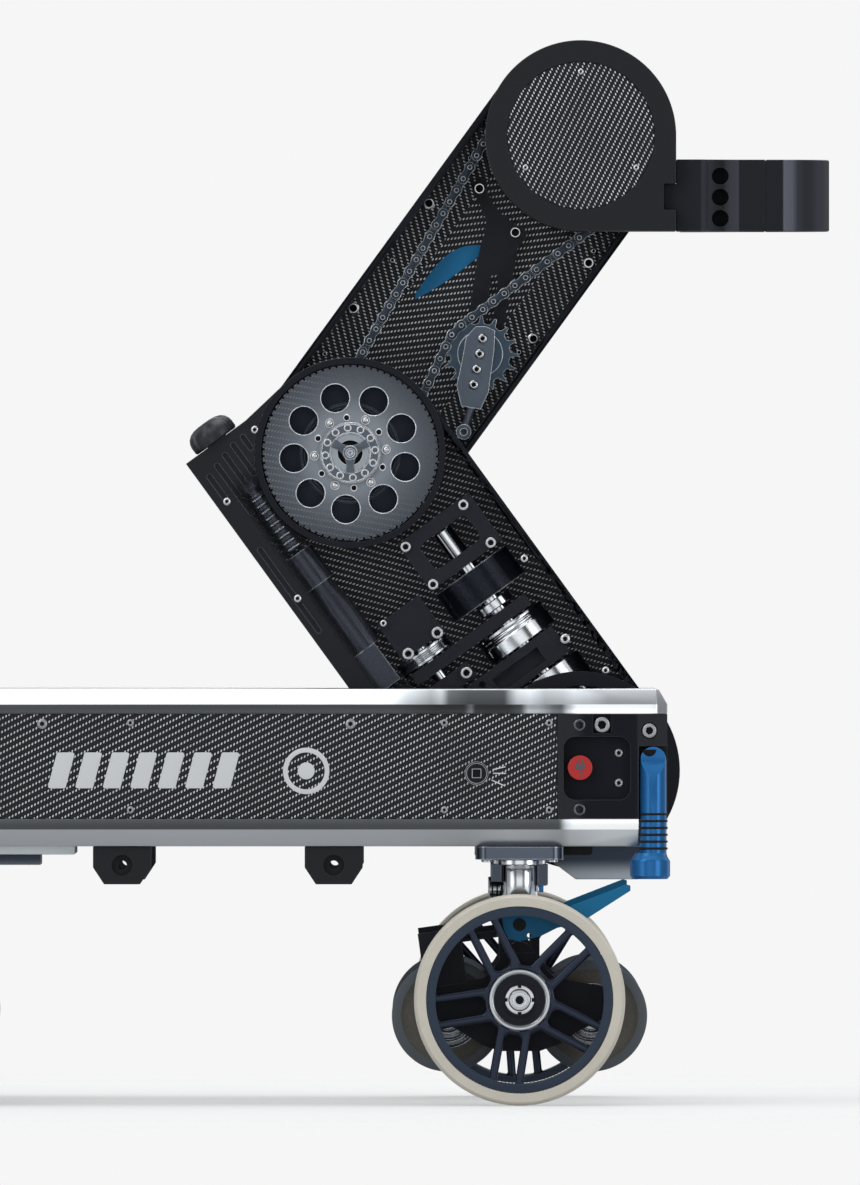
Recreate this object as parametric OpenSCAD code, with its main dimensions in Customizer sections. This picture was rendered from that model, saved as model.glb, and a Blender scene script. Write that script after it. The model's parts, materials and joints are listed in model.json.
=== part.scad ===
// Track dolly with a folding two-link camera lift arm.
// Millimetres, +Z up. The origin is on the floor, under the middle of the whole machine as it stands.
// -Y is the near side (the side with the selector and the power button), +X is the lift end.

/* [Chassis] */
// Overall length of the chassis
chassis_len = 900; // [890:1:910]
// Overall width of the chassis over its side panels
chassis_w = 700; // [696:1:704]
// Height of the top deck above the floor
deck_top = 394; // [392:1:396]
// Distance between the steering axes, along and across
gauge = 620; // [618:1:622]
// Half width of the open well that the arm folds into
well_half = 94; // [94:0.5:96]

/* [Arm] */
// Distance between pivots, the same on both links
link = 374; // [372:1:376]
// Angle of both links above the horizontal at rest
lift_angle = 54; // [53:0.5:55]
// Radius of the rounded link ends
link_r = 91; // [90.5:0.5:91]
// Height of the base pivot above the floor
base_z = 316; // [315:1:317]
// Distance of the base pivot from the centre of the wheelbase
base_x = 369; // [368:1:370]
// Wall of the link frames
wall = 7; // [6:0.5:7]

/* [Wheels] */
// Radius of the studio wheels
wheel_r = 100; // [99:0.5:100]
// Radius of the rail wheels over their flanges
rail_r = 53; // [52:0.5:53]
// Height of the rail wheel axles
rail_z = 84.5; // [84:0.5:86]

/* [Head] */
// Radius of the camera column clamp bore
clamp_r = 30; // [28:0.5:31]

/* [Hidden] */
$fn = 64;
NODES = ["top_deck", "chassis_frame", "side_panels", "corner_blocks", "tow_lugs",
  "kingpin_flanges", "chassis_screws", "base_shaft", "selector_knob", "power_button",
  "handle_near", "handle_far",
  "steer_fork_nr", "wheel_rim_nr", "wheel_tyre_nr",
  "rail_wheel_a_nr", "rail_wheel_b_nr", "brake_lever_nr",
  "steer_fork_nl", "wheel_rim_nl", "wheel_tyre_nl",
  "rail_wheel_a_nl", "rail_wheel_b_nl", "brake_lever_nl",
  "steer_fork_fr", "wheel_rim_fr", "wheel_tyre_fr",
  "rail_wheel_a_fr", "rail_wheel_b_fr", "brake_lever_fr",
  "steer_fork_fl", "wheel_rim_fl", "wheel_tyre_fl",
  "rail_wheel_a_fl", "rail_wheel_b_fl", "brake_lever_fl",
  "lower_arm_frame", "lower_arm_back", "lower_arm_cover", "motor_housing_cover", "pivot_rings",
  "elbow_motor", "elbow_worm", "drive_bracket", "lift_motor", "lift_spindle", "motor_pulley",
  "elbow_sprocket", "upper_arm_frame", "upper_arm_back", "upper_arm_cover", "head_chain",
  "tensioner_arm", "tensioner_sprocket", "elbow_gear", "head_housing", "head_disc",
  "head_bracket", "clamp_cap", "head_sprocket"];
node = "all";

c_alu = "silver";
c_black = "#22242a";
c_carbon = "#15161a";
c_steel = "#c9ccd0";
c_blue = "#1b6fae";
c_cream = "#c9c2b2";
c_navy = "#27303e";
c_red = "#b02424";
c_smoke = [0.5, 0.55, 0.6, 0.3];

half_len = chassis_len / 2;
half_w = chassis_w / 2;
web_top = deck_top - 23.5;    // underside of the top deck
web_base = web_top - 99.5;    // top of the bottom deck
belly = web_base - 26;        // underside of the bottom deck
fit = 0.05;                   // taken off shaft radii and added to bore radii
pivot_r = 20;                 // nominal radius of the arm pivots

// Pivots of the arm, as [x, z]
base = [base_x, base_z];
elbow = base + link * [-cos(lift_angle), sin(lift_angle)];
head = [base_x, base_z + 2 * link * sin(lift_angle)];

// Camera column clamp, along x from the head pivot
column_x = 176.4;             // column axis
cap_x = 17.2;                 // centre of the cap's round, from the column axis
jaw = 44;                     // half width of the jaws and radius of the cap's round
mid_x = (base_x + column_x + cap_x + jaw - half_len) / 2; // middle of the whole machine

// ---------- helpers ----------
// Everything is drawn from the centre of the wheelbase; centred() moves it to the origin
module centred() translate([-mid_x, 0, 0]) children();
module plate(y0, y1) translate([0, y1, 0]) rotate([90, 0, 0]) linear_extrude(y1 - y0) children();
module ycyl(x, z, y0, y1, r) translate([x, y1, z]) rotate([90, 0, 0]) cylinder(r = r, h = y1 - y0);
module xcyl(x0, x1, y, z, r) translate([x0, y, z]) rotate([0, 90, 0]) cylinder(r = r, h = x1 - x0);
module box(x0, x1, y0, y1, z0, z1) translate([x0, y0, z0]) cube([x1 - x0, y1 - y0, z1 - z0]);

// The same on one side: -1 near, 1 far; a to b runs outwards from the middle plane
function span(side, a, b) = side > 0 ? [a, b] : [-b, -a];
module side_plate(side, a, b) let (y = span(side, a, b)) plate(y[0], y[1]) children();
module side_cyl(side, x, z, a, b, r) let (y = span(side, a, b)) ycyl(x, z, y[0], y[1], r);
module side_box(side, x0, x1, a, b, z0, z1)
  let (y = span(side, a, b)) box(x0, x1, y[0], y[1], z0, z1);

// Takes a shape drawn in the near corner of the lift end (end = 1, side = -1) to any corner
module to_corner(end, side)
  mirror([end < 0 ? 1 : 0, 0, 0]) mirror([0, side > 0 ? 1 : 0, 0]) children();

// Frames of the arm: x runs along a link from its lower pivot
module in_lower() translate([base[0], 0, base[1]]) rotate([0, lift_angle - 180, 0]) children();
module in_upper() translate([elbow[0], 0, elbow[1]]) rotate([0, -lift_angle, 0]) children();
module at_head() translate([head[0], 0, head[1]]) children();

// Half an outline, closed by its mirror image; flip is [-1, 1] in x or [1, -1] in y
function symmetric(half, flip) = concat(half,
  [for (i = [len(half) - 1 : -1 : 0]) [flip[0] * half[i][0], flip[1] * half[i][1]]]);

module stadium(r) {
  circle(r);
  translate([0, -r]) square([link, 2 * r]);
  translate([link, 0]) circle(r);
}
module rrect(w, h, r) {
  translate([-w / 2 + r, -h / 2]) square([w - 2 * r, h]);
  translate([-w / 2, -h / 2 + r]) square([w, h - 2 * r]);
  for (i = [-1, 1], j = [-1, 1]) translate([i * (w / 2 - r), j * (h / 2 - r)]) circle(r);
}
module annulus(outer, inner) difference() {
  circle(outer);
  circle(inner);
}

// ---------- chassis ----------
slot_x = -140;                // closed end of the well
well_wall = 6;
well_out = well_half + well_wall;
taper_x = 346;                // where the sides start to run in
taper = 10;                   // how far they run in
clip_x = 10;                  // clipped corners, along
clip_y = 22;                  // and across, from the full width
corner_w = 90;                // width of a corner block across the end
bevel = 8.5;
handle_x = 436.6;
hinge_z = 327;
knob = [269.3, 314.2];        // selector, as [x, z]
button = [367.3, 319.5];      // power button, as [x, z]

// Outline of a deck, set in by d
function deck_pts(d) = symmetric([
  [-half_len + d, -half_w + clip_y], [-half_len + clip_x, -half_w + taper + d],
  [-taper_x, -half_w + d], [taper_x, -half_w + d],
  [half_len - clip_x, -half_w + taper + d], [half_len - d, -half_w + clip_y]], [1, -1]);

module well_cut(z0, z1) box(slot_x, half_len + 20, -well_half, well_half, z0, z1);
module handle_notch(side, z0, z1)
  side_box(side, 423, half_len + 5, half_w - 30, half_w + 5, z0, z1);

module top_deck() centred() color(c_alu) difference() {
  hull() {
    translate([0, 0, web_top]) linear_extrude(9) polygon(deck_pts(0));
    translate([0, 0, deck_top - 0.02]) linear_extrude(0.02) polygon(deck_pts(bevel));
  }
  well_cut(web_top - 1, deck_top + 1);
}

module bottom_deck() difference() {
  hull() {
    translate([0, 0, web_base - 10]) linear_extrude(10) polygon(deck_pts(0));
    translate([0, 0, belly]) linear_extrude(0.02) polygon(deck_pts(bevel));
  }
  well_cut(belly - 1, web_base + 1);
  for (side = [-1, 1]) handle_notch(side, belly - 1, web_base + 1);
}
// Well walls and the closed end of the well
module well_walls() difference() {
  union() {
    for (side = [-1, 1])
      side_box(side, slot_x - well_wall, half_len - 4, well_half, well_out, web_base, web_top);
    box(slot_x - well_wall, slot_x, -well_half, well_half, web_base, web_top);
  }
  ycyl(base[0], base[1], -110, 110, pivot_r);
}
// Webs behind the side panels and between the corner blocks
module outer_webs() {
  corner_y = half_w - corner_w;
  for (side = [-1, 1]) {
    side_box(side, 1 - taper_x, taper_x - 1, half_w - 12, half_w - 8, web_base, web_top);
    side_box(side, half_len - 8, half_len - 4, well_out, corner_y, web_base, web_top);
  }
  box(-half_len + 4, -half_len + 8, -corner_y, corner_y, web_base, web_top);
}
// Guard under the base pivot
module belly_guard() {
  top = belly - 0.2;
  for (side = [-1, 1]) side_plate(side, well_half + 2, well_half + 6)
    polygon([[336, top], [336, 233], [364, 212], [424, 212], [427, 215], [427, top]]);
  box(364, 424, -well_half - 2, well_half + 2, 212, 215);
}
// Tray and its foot under the closed end of the well
module battery_tray() {
  difference() {
    box(-230, -113, -150, 150, belly - 9, belly - 0.2);
    translate([-113, 0, belly - 9]) rotate([0, -50, 0])
      translate([0, -160, -30]) cube([30, 320, 30]);
  }
  box(-196, -146, -60, 60, belly - 19.5, belly - 9.2);
}
module chassis_frame() centred() color(c_alu) {
  bottom_deck();
  well_walls();
  outer_webs();
  belly_guard();
  battery_tray();
}

module side_panels() centred() color(c_carbon) for (side = [-1, 1]) difference() {
  side_box(side, 0.5 - taper_x, taper_x - 0.5, half_w - 5, half_w - 1.5,
    web_base + 0.3, web_top - 0.3);
  if (side < 0) ycyl(knob[0], knob[1], -half_w - 1, -half_w + 10, 9);
}

// Block of the near corner at the lift end; the pocket holds the power button
module corner_block(pocket) difference() {
  translate([0, 0, web_base + 0.2]) linear_extrude(web_top - web_base - 0.4) polygon([
    [taper_x, -half_w], [half_len - clip_x, -half_w + taper],
    [half_len, -half_w + clip_y], [half_len, -half_w + corner_w],
    [half_len - 14, -half_w + corner_w], [half_len - 14, -half_w + 48], [taper_x, -half_w + 48]]);
  // seats of the two fixing bolts
  box(379.5, 396.5, -half_w - 1, -half_w + 12, 352, web_top);
  ycyl(433, 354.5, -half_w - 1, -half_w + 12, 8.2);
  if (pocket) {
    plate(-half_w - 1, -half_w + 14) translate([383.3, 319]) rrect(63.4, 60, 11);
    ycyl(button[0], button[1], -half_w + 10, -half_w + 40, 8);
  }
}
module corner_blocks() centred() color(c_black) for (side = [-1, 1]) {
  // hinge pin of the carry handle
  side_cyl(side, handle_x, hinge_z, half_w - 33, half_w - 9.2, 4);
  difference() {
    to_corner(1, side) corner_block(side < 0);
    handle_notch(side, web_base - 1, 340);
  }
  to_corner(-1, side) corner_block(false);
}

module tow_lug(x, side) {
  inner = half_w - 62;
  outer = half_w - 12;
  hole_z = belly - 18;
  difference() {
    side_plate(side, inner, outer) polygon([
      [x - 27.5, belly - 0.2], [x - 27.5, belly - 20], [x - 17, belly - 36],
      [x + 17, belly - 36], [x + 27.5, belly - 20], [x + 27.5, belly - 0.2]]);
    side_cyl(side, x, hole_z, inner - 1, outer + 1, 4.5);
    side_cyl(side, x, hole_z, outer - 8, outer + 1, 10);
  }
}
module tow_lugs() centred() color(c_black)
  for (x = [-66.5, 134], side = [-1, 1]) tow_lug(x, side);

module kingpin_flanges() centred() color(c_steel)
  for (i = [-1, 1], j = [-1, 1]) translate([i, j, 0] * gauge / 2) difference() {
    translate([0, 0, belly - 12.5]) linear_extrude(12.3) difference() {
      rrect(83.6, 78, 12);
      circle(19.05);
    }
    for (a = [-1, 1], b = [-1, 1])
      translate([a * 31, b * 28, belly - 13]) cylinder(r = 4, h = 5);
  }

// Screw head with a hexagon socket, seated at a distance out from the middle plane
module screw(side, x, z, seat, r, h) difference() {
  side_cyl(side, x, z, seat, seat + h, r);
  side_plate(side, seat + h * 0.4, seat + h + 1) translate([x, z]) circle(r * 0.45, $fn = 6);
}
module chassis_screws() centred() color(c_steel) {
  for (side = [-1, 1]) {
    for (x = [-338, -208, -58.5, 238.7, 338], z = [279.5, 362])
      screw(side, x, z, half_w - 1.5, r = 3.6, h = 1.4);
    for (x = [-142, 149.9]) screw(side, x, 361, half_w - 1.5, r = 5, h = 1.4);
    for (end = [-1, 1]) {
      screw(side, end * 388, 360, half_w - 12, r = 7.4, h = 6);
      screw(side, end * 433, 354.5, half_w - 12, r = 6.6, h = 4);
    }
  }
  for (z = [333.5, 305]) screw(-1, 404, z, half_w - 14, r = 4.4, h = 2.4);
}

module base_shaft() centred() color(c_steel) {
  ycyl(base[0], base[1], -well_out, well_out, pivot_r - fit);
  // fixed face gear for the lift spindle
  difference() {
    ycyl(base[0], base[1], -25, -8, 52);
    for (a = [0 : 15 : 345])
      translate([base[0], 0, base[1]]) rotate([0, a, 0]) box(38, 54, -26, -21, -2, 2);
  }
}

module selector_knob() centred() color(c_black) difference() {
  union() {
    ycyl(knob[0], knob[1], -half_w - 4, -half_w + 1.3, 11.2);
    ycyl(knob[0], knob[1], -half_w + 1.3, -half_w + 7.6, 9 - fit);
  }
  plate(-half_w - 5, -half_w - 1) translate(knob) rotate(45) circle(5.6, $fn = 4);
}
module power_button() centred() color(c_red) {
  ycyl(button[0], button[1], -half_w + 2, -half_w + 9.5, 11.7);
  ycyl(button[0], button[1], -half_w + 9.5, -half_w + 34, 8 - fit);
}

module grip_handle(side) {
  grip_r = 12.6;
  translate([handle_x, side * (half_w - 13.2), 0]) difference() {
    union() {
      translate([0, 0, 230]) cylinder(r = grip_r, h = hinge_z - 230);
      // rounded top
      intersection() {
        ycyl(0, hinge_z, -grip_r, grip_r, 12.2);
        translate([0, 0, 310]) cylinder(r = grip_r, h = 40);
      }
      // collar, then the foot with its two chamfers
      translate([-2.4, 0, 236]) cylinder(r1 = 15.8, r2 = 14.6, h = 2.6);
      translate([-3, 0, 217]) cylinder(r = 19, h = 14);
      translate([-3, 0, 214]) cylinder(r1 = 16.5, r2 = 19, h = 3);
      translate([-3, 0, 231]) cylinder(r1 = 19, r2 = 16, h = 5);
    }
    // grip grooves
    for (i = [0 : 5]) translate([0, 0, 243 + 6.5 * i])
      rotate_extrude() translate([13.1, 0]) circle(1.2, $fn = 24);
    side_cyl(side, 0, hinge_z, -14, 4.5, 4 + fit);
    // flat milled on the outer face, running out in a slope
    mirror([0, side > 0 ? 1 : 0, 0]) rotate([90, 0, 90]) translate([0, 0, -14])
      linear_extrude(28)
        polygon([[-13, 310], [-12.6, 311.3], [-5.4, 325.8], [-5.4, 345], [-13, 345]]);
  }
}
module handle_near() centred() color(c_blue) grip_handle(-1);
module handle_far() centred() color(c_blue) grip_handle(1);

// ---------- wheel units, drawn for the near corner at the lift end, about the steering axis ----------
wheel_y = -59;                // middle of the studio wheel
wheel_z = 100;                // studio wheel axle
axle_r = 10;                  // nominal radius of that axle
rail_x = 68;                  // rail wheels, either side of the steering axis
rail_axle_r = 8;
brake_z = 171;                // pivot of the brake lever
brake_pin_r = 6;
fork_half = 16.4;             // half width of the fork between its cheeks
cheek_out = 22;               // outer face of the cheeks

// Right half of a fork cheek, [x, z] from bottom to top
cheek_half = [[19, 51], [36, 57], [59, 71.5], [84, 84], [80, 112],
  [43, 119], [34, 120], [24, 130], [15.5, 144]];
// Profiles of turned parts, [radius, distance along the axle]
rim_profile = [[79.7, -17], [84, -19], [88.4, -19], [88.4, 19], [84, 19], [79.7, 16]];
tyre_profile = [[88.5, -19], [97, -19], [99.2, -16.5], [wheel_r, -12],
  [wheel_r, 12], [99.2, 16.5], [97, 19], [88.5, 19]];
rail_profile = [[rail_axle_r + fit, -14], [20, -14], [22, -11], [40, -11], [42, -15.5],
  [rail_r - 1, -15.5], [rail_r, -14.5], [rail_r, -13], [44, -7], [42, 0], [44, 7],
  [rail_r, 13], [rail_r, 14.5], [rail_r - 1, 15.5], [42, 15.5],
  [40, 11], [22, 11], [20, 14], [rail_axle_r + fit, 14]];
// Outline of the brake lever, [x, z]
brake_outline = [[-17, 178], [-14, 183], [0, 186], [20, 187], [40, 184], [47, 188],
  [101, 209], [105, 208], [105, 203], [55, 171], [36, 168], [20, 160], [0, 155],
  [-10, 157], [-14, 163]];

module unit(end, side)
  translate([end * gauge / 2, side * gauge / 2, 0]) to_corner(end, side) children();

module steering_tube() {
  translate([0, 0, 190]) cylinder(r = 17.4, h = 40);
  translate([0, 0, belly - 16.8]) cylinder(r = 19, h = 16.3);
  translate([0, 0, belly - 16.8]) cylinder(r = 24.6, h = 4);
  // lock ears and clamp screw
  box(-26.2, -15, -12, 12, 211.6, belly - 16.7);
  box(15, 26.6, -9, 9, 208, belly - 16.7);
  xcyl(-28.4, -15, 0, 203.8, 7.6);
}
module fork_body() {
  box(-19, 19, -fork_half, fork_half, 163, 196); // head block under the steering tube
  for (x = [[-19, -14], [11, 19]]) box(x[0], x[1], -fork_half, fork_half, 132, 164);
  box(-13, 13, -fork_half, fork_half, 60, 140); // centre web between the rail wheels
  ycyl(0, 140, -21, 21, 14.6);
  for (side = [-1, 1])
    side_plate(side, fork_half, cheek_out) polygon(symmetric(cheek_half, [-1, 1]));
}
module fork_pins() {
  ycyl(0, wheel_z, wheel_y - 20, -20, axle_r - fit);
  for (i = [-1, 1]) ycyl(i * rail_x, rail_z, -20, 20, rail_axle_r - fit);
  ycyl(0, brake_z, -37, -10, brake_pin_r - fit);
}
module brake_box() translate([-73.5, 0, 141.5]) rotate([0, -8, 0]) {
  box(-20, 20, -25.5, -17.4, -28.5, 23.5);
  box(19, 60, -25.5, -12, 10, 16.5);
}
module steer_fork() difference() {
  union() {
    steering_tube();
    fork_body();
    fork_pins();
    brake_box();
  }
  translate([0, 0, 222]) cylinder(r = 6, h = 40);
}
module wheel_rim() translate([0, wheel_y, wheel_z]) rotate([90, 0, 0]) difference() {
  union() {
    rotate_extrude() polygon(rim_profile);
    translate([0, 0, -16]) cylinder(r = 30, h = 34);
    // five double spokes
    for (i = [0 : 4]) rotate(44.5 + 72 * i)
      for (s = [-1, 1]) translate([20, s * 12.5 - 3.7, -4]) cube([62, 7.4, 15]);
  }
  translate([0, 0, -20]) cylinder(r = axle_r + fit, h = 40);
  translate([0, 0, 14]) cylinder(r = 24, h = 10);
}
module wheel_tyre() translate([0, wheel_y, wheel_z]) rotate([90, 0, 0])
  rotate_extrude($fn = 96) polygon(tyre_profile);
module rail_wheel(i) translate([i * rail_x, 0, rail_z]) rotate([90, 0, 0])
  rotate_extrude() polygon(rail_profile);
module brake_lever() difference() {
  plate(-36, -28) polygon(brake_outline);
  ycyl(0, brake_z, -37, -27, brake_pin_r + fit);
  ycyl(9, 160.8, -37, -27, 2);
}

// The four wheel units by name: n near, f far, r lift end, l other end
module steer_fork_nr() centred() color(c_steel) unit(1, -1) steer_fork();
module wheel_rim_nr() centred() color(c_navy) unit(1, -1) wheel_rim();
module wheel_tyre_nr() centred() color(c_cream) unit(1, -1) wheel_tyre();
module rail_wheel_a_nr() centred() color("gray") unit(1, -1) rail_wheel(-1);
module rail_wheel_b_nr() centred() color("gray") unit(1, -1) rail_wheel(1);
module brake_lever_nr() centred() color(c_blue) unit(1, -1) brake_lever();
module steer_fork_nl() centred() color(c_steel) unit(-1, -1) steer_fork();
module wheel_rim_nl() centred() color(c_navy) unit(-1, -1) wheel_rim();
module wheel_tyre_nl() centred() color(c_cream) unit(-1, -1) wheel_tyre();
module rail_wheel_a_nl() centred() color("gray") unit(-1, -1) rail_wheel(-1);
module rail_wheel_b_nl() centred() color("gray") unit(-1, -1) rail_wheel(1);
module brake_lever_nl() centred() color(c_blue) unit(-1, -1) brake_lever();
module steer_fork_fr() centred() color(c_steel) unit(1, 1) steer_fork();
module wheel_rim_fr() centred() color(c_navy) unit(1, 1) wheel_rim();
module wheel_tyre_fr() centred() color(c_cream) unit(1, 1) wheel_tyre();
module rail_wheel_a_fr() centred() color("gray") unit(1, 1) rail_wheel(-1);
module rail_wheel_b_fr() centred() color("gray") unit(1, 1) rail_wheel(1);
module brake_lever_fr() centred() color(c_blue) unit(1, 1) brake_lever();
module steer_fork_fl() centred() color(c_steel) unit(-1, 1) steer_fork();
module wheel_rim_fl() centred() color(c_navy) unit(-1, 1) wheel_rim();
module wheel_tyre_fl() centred() color(c_cream) unit(-1, 1) wheel_tyre();
module rail_wheel_a_fl() centred() color("gray") unit(-1, 1) rail_wheel(-1);
module rail_wheel_b_fl() centred() color("gray") unit(-1, 1) rail_wheel(1);
module brake_lever_fl() centred() color(c_blue) unit(-1, 1) brake_lever();

// ---------- layers and chain wheels of the arm ----------
// Near and far faces of each link, in y, and the near face of its back plate
low_near = -80;
low_far = 10;
low_back = low_far - 4;
up_near = 15;
up_far = 80;
up_back = up_far - 4;
cover_t = 2;

chain_y = 44;                 // middle of the roller chain
pitch = 12.7;
function pitch_r(n) = pitch / (2 * sin(180 / n));
elbow_teeth = 19;
head_teeth = 38;
idler_teeth = 16;

// One tooth: [fraction of the pitch angle, height over the pitch circle]
tooth = [[0, -4.1], [0.27, -3.2], [0.43, 3.8], [0.57, 3.8], [0.73, -3.2]];
module sprocket(n, bore) plate(chain_y - 3, chain_y + 3) difference() {
  polygon([for (i = [0 : n - 1], t = tooth)
    let (a = 360 / n * (i + t[0])) (pitch_r(n) + t[1]) * [cos(a), sin(a)]]);
  circle(bore);
}

// ---------- lower link ----------
worm_y = -66;
worm_z = 96.5;
motor_y = -60;
motor_z = 98;
pulley_y = -28;
pulley_z = 56;
drive_y = -36;                // axis of the lift drive
drive_z = -27;

// Stadium with the motor housing on one edge, set in by d
module lower_outline(d) {
  stadium(link_r - d);
  polygon([[160 + d, 40], [160 + d, 133 - d], [457.6 - d, 133 - d], [457.6 - d, 63 + d],
    [464.3 - 0.986 * d, 11.6 - 0.314 * d], [374, 0]]);
}
module lower_arm_frame() centred() color(c_black) in_lower() {
  difference() {
    plate(low_near + cover_t, low_back) difference() {
      lower_outline(0);
      lower_outline(wall);
    }
    // bore for the worm shaft in the end wall
    xcyl(445, 460, worm_y, worm_z, 8.2);
  }
  // bearing sleeve of the base pivot
  difference() {
    union() {
      ycyl(0, 0, low_far - 9, 88, 30);
      ycyl(0, 0, low_far, low_far + 4, 42);
    }
    ycyl(0, 0, low_far - 10, 89, pivot_r + fit);
  }
}
module lower_arm_back() centred() color(c_carbon) in_lower() plate(low_back, low_far) difference() {
  lower_outline(0);
  circle(30.05);
  translate([link, 0]) circle(28.1);
}
module lower_arm_cover() centred() color(c_smoke) in_lower()
  plate(low_near, low_near + cover_t) difference() {
    intersection() {
      stadium(link_r);
      translate([-100, -100]) square([560, 184]);
    }
    translate([link, 0]) circle(link_r + 0.5);
    circle(80.1);
  }

groove_r = 2.6;
// Grooves of the housing cover: [x of the right end, z, length]
grooves = [[437, 122, 30], [441, 110, 60], [445, 98, 74],
  [448, 86, 38], [449, 74, 18], [352, 124, 100]];
module groove(length) {
  flat = length - 2 * groove_r;
  translate([0, -groove_r]) square([flat, 2 * groove_r]);
  circle(groove_r);
  translate([flat, 0]) circle(groove_r);
}
module motor_housing_cover() centred() color(c_black) in_lower() difference() {
  plate(low_near - 2, low_near + 2) difference() {
    polygon([[160, 84.6], [160, 133], [457.6, 133], [457.6, 63],
      [464.3, 11.6], [374, 0], [340, 84.6]]);
    translate([link, 0]) circle(link_r + 0.5);
  }
  xcyl(324, 400, worm_y, worm_z, 13.2); // room for the worm
  plate(low_near - 3, low_near)
    for (g = grooves) translate([g[0] - g[2] + groove_r, g[1]]) groove(g[2]);
}

module pivot_rings() centred() color(c_black) in_lower() {
  plate(low_near - 4, low_near + 1.9) translate([link, 0]) annulus(link_r - 0.1, 85);
  plate(low_near + 1.9, low_near + 24) intersection() {
    translate([link, 0]) annulus(link_r - 0.1, 85);
    translate([270, -83.8]) square([102, 140]);
  }
  plate(low_near - 4, low_near) annulus(94.5, 80.3);
}
module elbow_motor() centred() color(c_black) in_lower() {
  // barrel: [x start, x end, radius]
  for (c = [[290, 326, 17], [283, 290, 13.5], [214, 256, 17]])
    xcyl(c[0], c[1], motor_y, motor_z, c[2]);
  translate([256, motor_y, motor_z]) rotate([0, 90, 0]) cylinder(r1 = 17, r2 = 13.5, h = 27);
  box(172, 214, -77, low_back, 88, 118);
}
// Worm, shaft and hand knob turn together
module elbow_worm() centred() color(c_black) in_lower() {
  knob_x = 458.1;
  xcyl(330, knob_x, worm_y, worm_z, 8);
  for (i = [0 : 8]) xcyl(331 + i * 7.2, 335 + i * 7.2, worm_y, worm_z, 12.6);
  xcyl(331, 395, worm_y, worm_z, 10.2);
  xcyl(400, 425, worm_y, worm_z, 12);
  translate([knob_x, worm_y, worm_z]) difference() {
    rotate([0, 90, 0]) rotate_extrude()
      polygon([[0, 0], [23, 0], [23.5, 2], [23.5, 9], [21, 15], [14, 19.5], [0, 21]]);
    for (a = [0 : 60 : 300]) rotate([a, 0, 0]) xcyl(-1, 25, 0, 28, 7);
  }
}

// Bearing frame with a window, on four feet
module bearing_frame() {
  difference() {
    box(222, 277, -76, -68, drive_z - 42, drive_z + 42);
    plate(-77, -67) translate([249, drive_z]) rrect(29, 54, 6);
  }
  for (x = [222, 266], s = [-1, 1])
    box(x, x + 11, -68, low_back, drive_z + s * 38 - 4, drive_z + s * 38 + 4);
}
// Cross bar and the belt tensioner plates, with their feet
module belt_plates() {
  box(156, 168, -74, -60, -55, 78);
  for (z = [-55, 72]) box(157, 167, -60, low_back, z, z + 6);
  box(184, 226, -74, -62, 27, 76);
  box(131, 148, -74, -62, 27, 76);
  for (z = [27, 66]) box(217, 225, -62, low_back, z, z + 10);
  box(132, 146, -62, low_back, 68, 76);
}
// Clamp block of the spindle bearing, with its adjusting bolt
module spindle_clamp() {
  difference() {
    box(98, 128, -76, -62, -58, 41);
    box(104, 120, -77, -68, -35, 18);
    for (x = [105, 121]) ycyl(x, 28, -77, -70, 3.6);
  }
  for (z = [-58, 35]) box(103, 123, -62, low_back, z, z + 6);
  translate([111, -69, 41]) cylinder(r = 3, h = 14);
  translate([111, -69, 54]) cylinder(r = 5.6, h = 8, $fn = 6);
}
module drive_bracket() centred() color(c_black) in_lower() {
  bearing_frame();
  belt_plates();
  spindle_clamp();
}
module lift_motor() centred() color(c_black) in_lower() difference() {
  union() {
    xcyl(184, 216, drive_y, drive_z, 41);
    box(188, 212, -6, low_back, drive_z - 28, drive_z + 28);
  }
  xcyl(180, 220, drive_y, drive_z, 14);
}
module lift_spindle() centred() color(c_steel) in_lower() {
  // [x start, x end, radius]
  for (c = [[40, 262, 10], [172, 180, 19], [56, 95, 38]])
    xcyl(c[0], c[1], drive_y, drive_z, c[2]);
  // grooved drum
  translate([130, drive_y, drive_z]) rotate([0, 90, 0]) rotate_extrude() polygon([
    [0, 3], [33, 3], [33, 0], [37, 0], [37, 13], [36, 14.5], [36, 15.5], [37, 17], [37, 18],
    [36, 19], [36, 20], [37, 21], [37, 24], [34, 24], [34, 21], [0, 21]]);
}
module motor_pulley() centred() color(c_steel) in_lower() {
  translate([169.5, pulley_y, pulley_z]) rotate([0, 90, 0]) rotate_extrude() polygon([
    [0, 0], [29, 0], [29, 3], [27.5, 4], [29, 5], [27.5, 6], [29, 7], [27.5, 8],
    [29, 9], [29, 12], [0, 12]]);
  xcyl(135, 214, pulley_y, pulley_z, 7);
}

// ---------- upper link ----------
idler = [150, -44.3];         // tensioner sprocket
idler_r = 7;                  // nominal radius of its pin
lever_bolts = [[277.6, 49.2], [263.8, -3.3]];
rod_eye = [80.1, -75.6];
// Outlines of the tensioner lever and of the idler's carrier, [x, z]
lever_outline = [
  [279.7, 56.3], [283.4, 57.2], [285.8, 55.4], [286.8, 51.2], [279.8, 42.1], [274, 31],
  [270.4, 17], [270, 2], [271.4, -9.9], [269.2, -13.4], [265, -14.4], [254.2, -13.4],
  [243.7, -18.7], [208.2, -35.6], [186.9, -46.2], [165.6, -52.2], [145.7, -53],
  [139.8, -40.2], [153.8, -26.6], [177.5, -12.1], [193.3, -3.4], [219.5, 9.9],
  [235, 16.7], [248, 20.8], [257, 26.4], [264.4, 38.4], [270, 47.6]];
carrier_outline = [
  [168.4, -25.5], [174.4, -33.8], [176, -42.9], [159.8, -53.6], [124.2, -72.7],
  [107.1, -75.9], [98.9, -59], [111.9, -44.1], [135.3, -33.9], [154.8, -24.2]];

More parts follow.
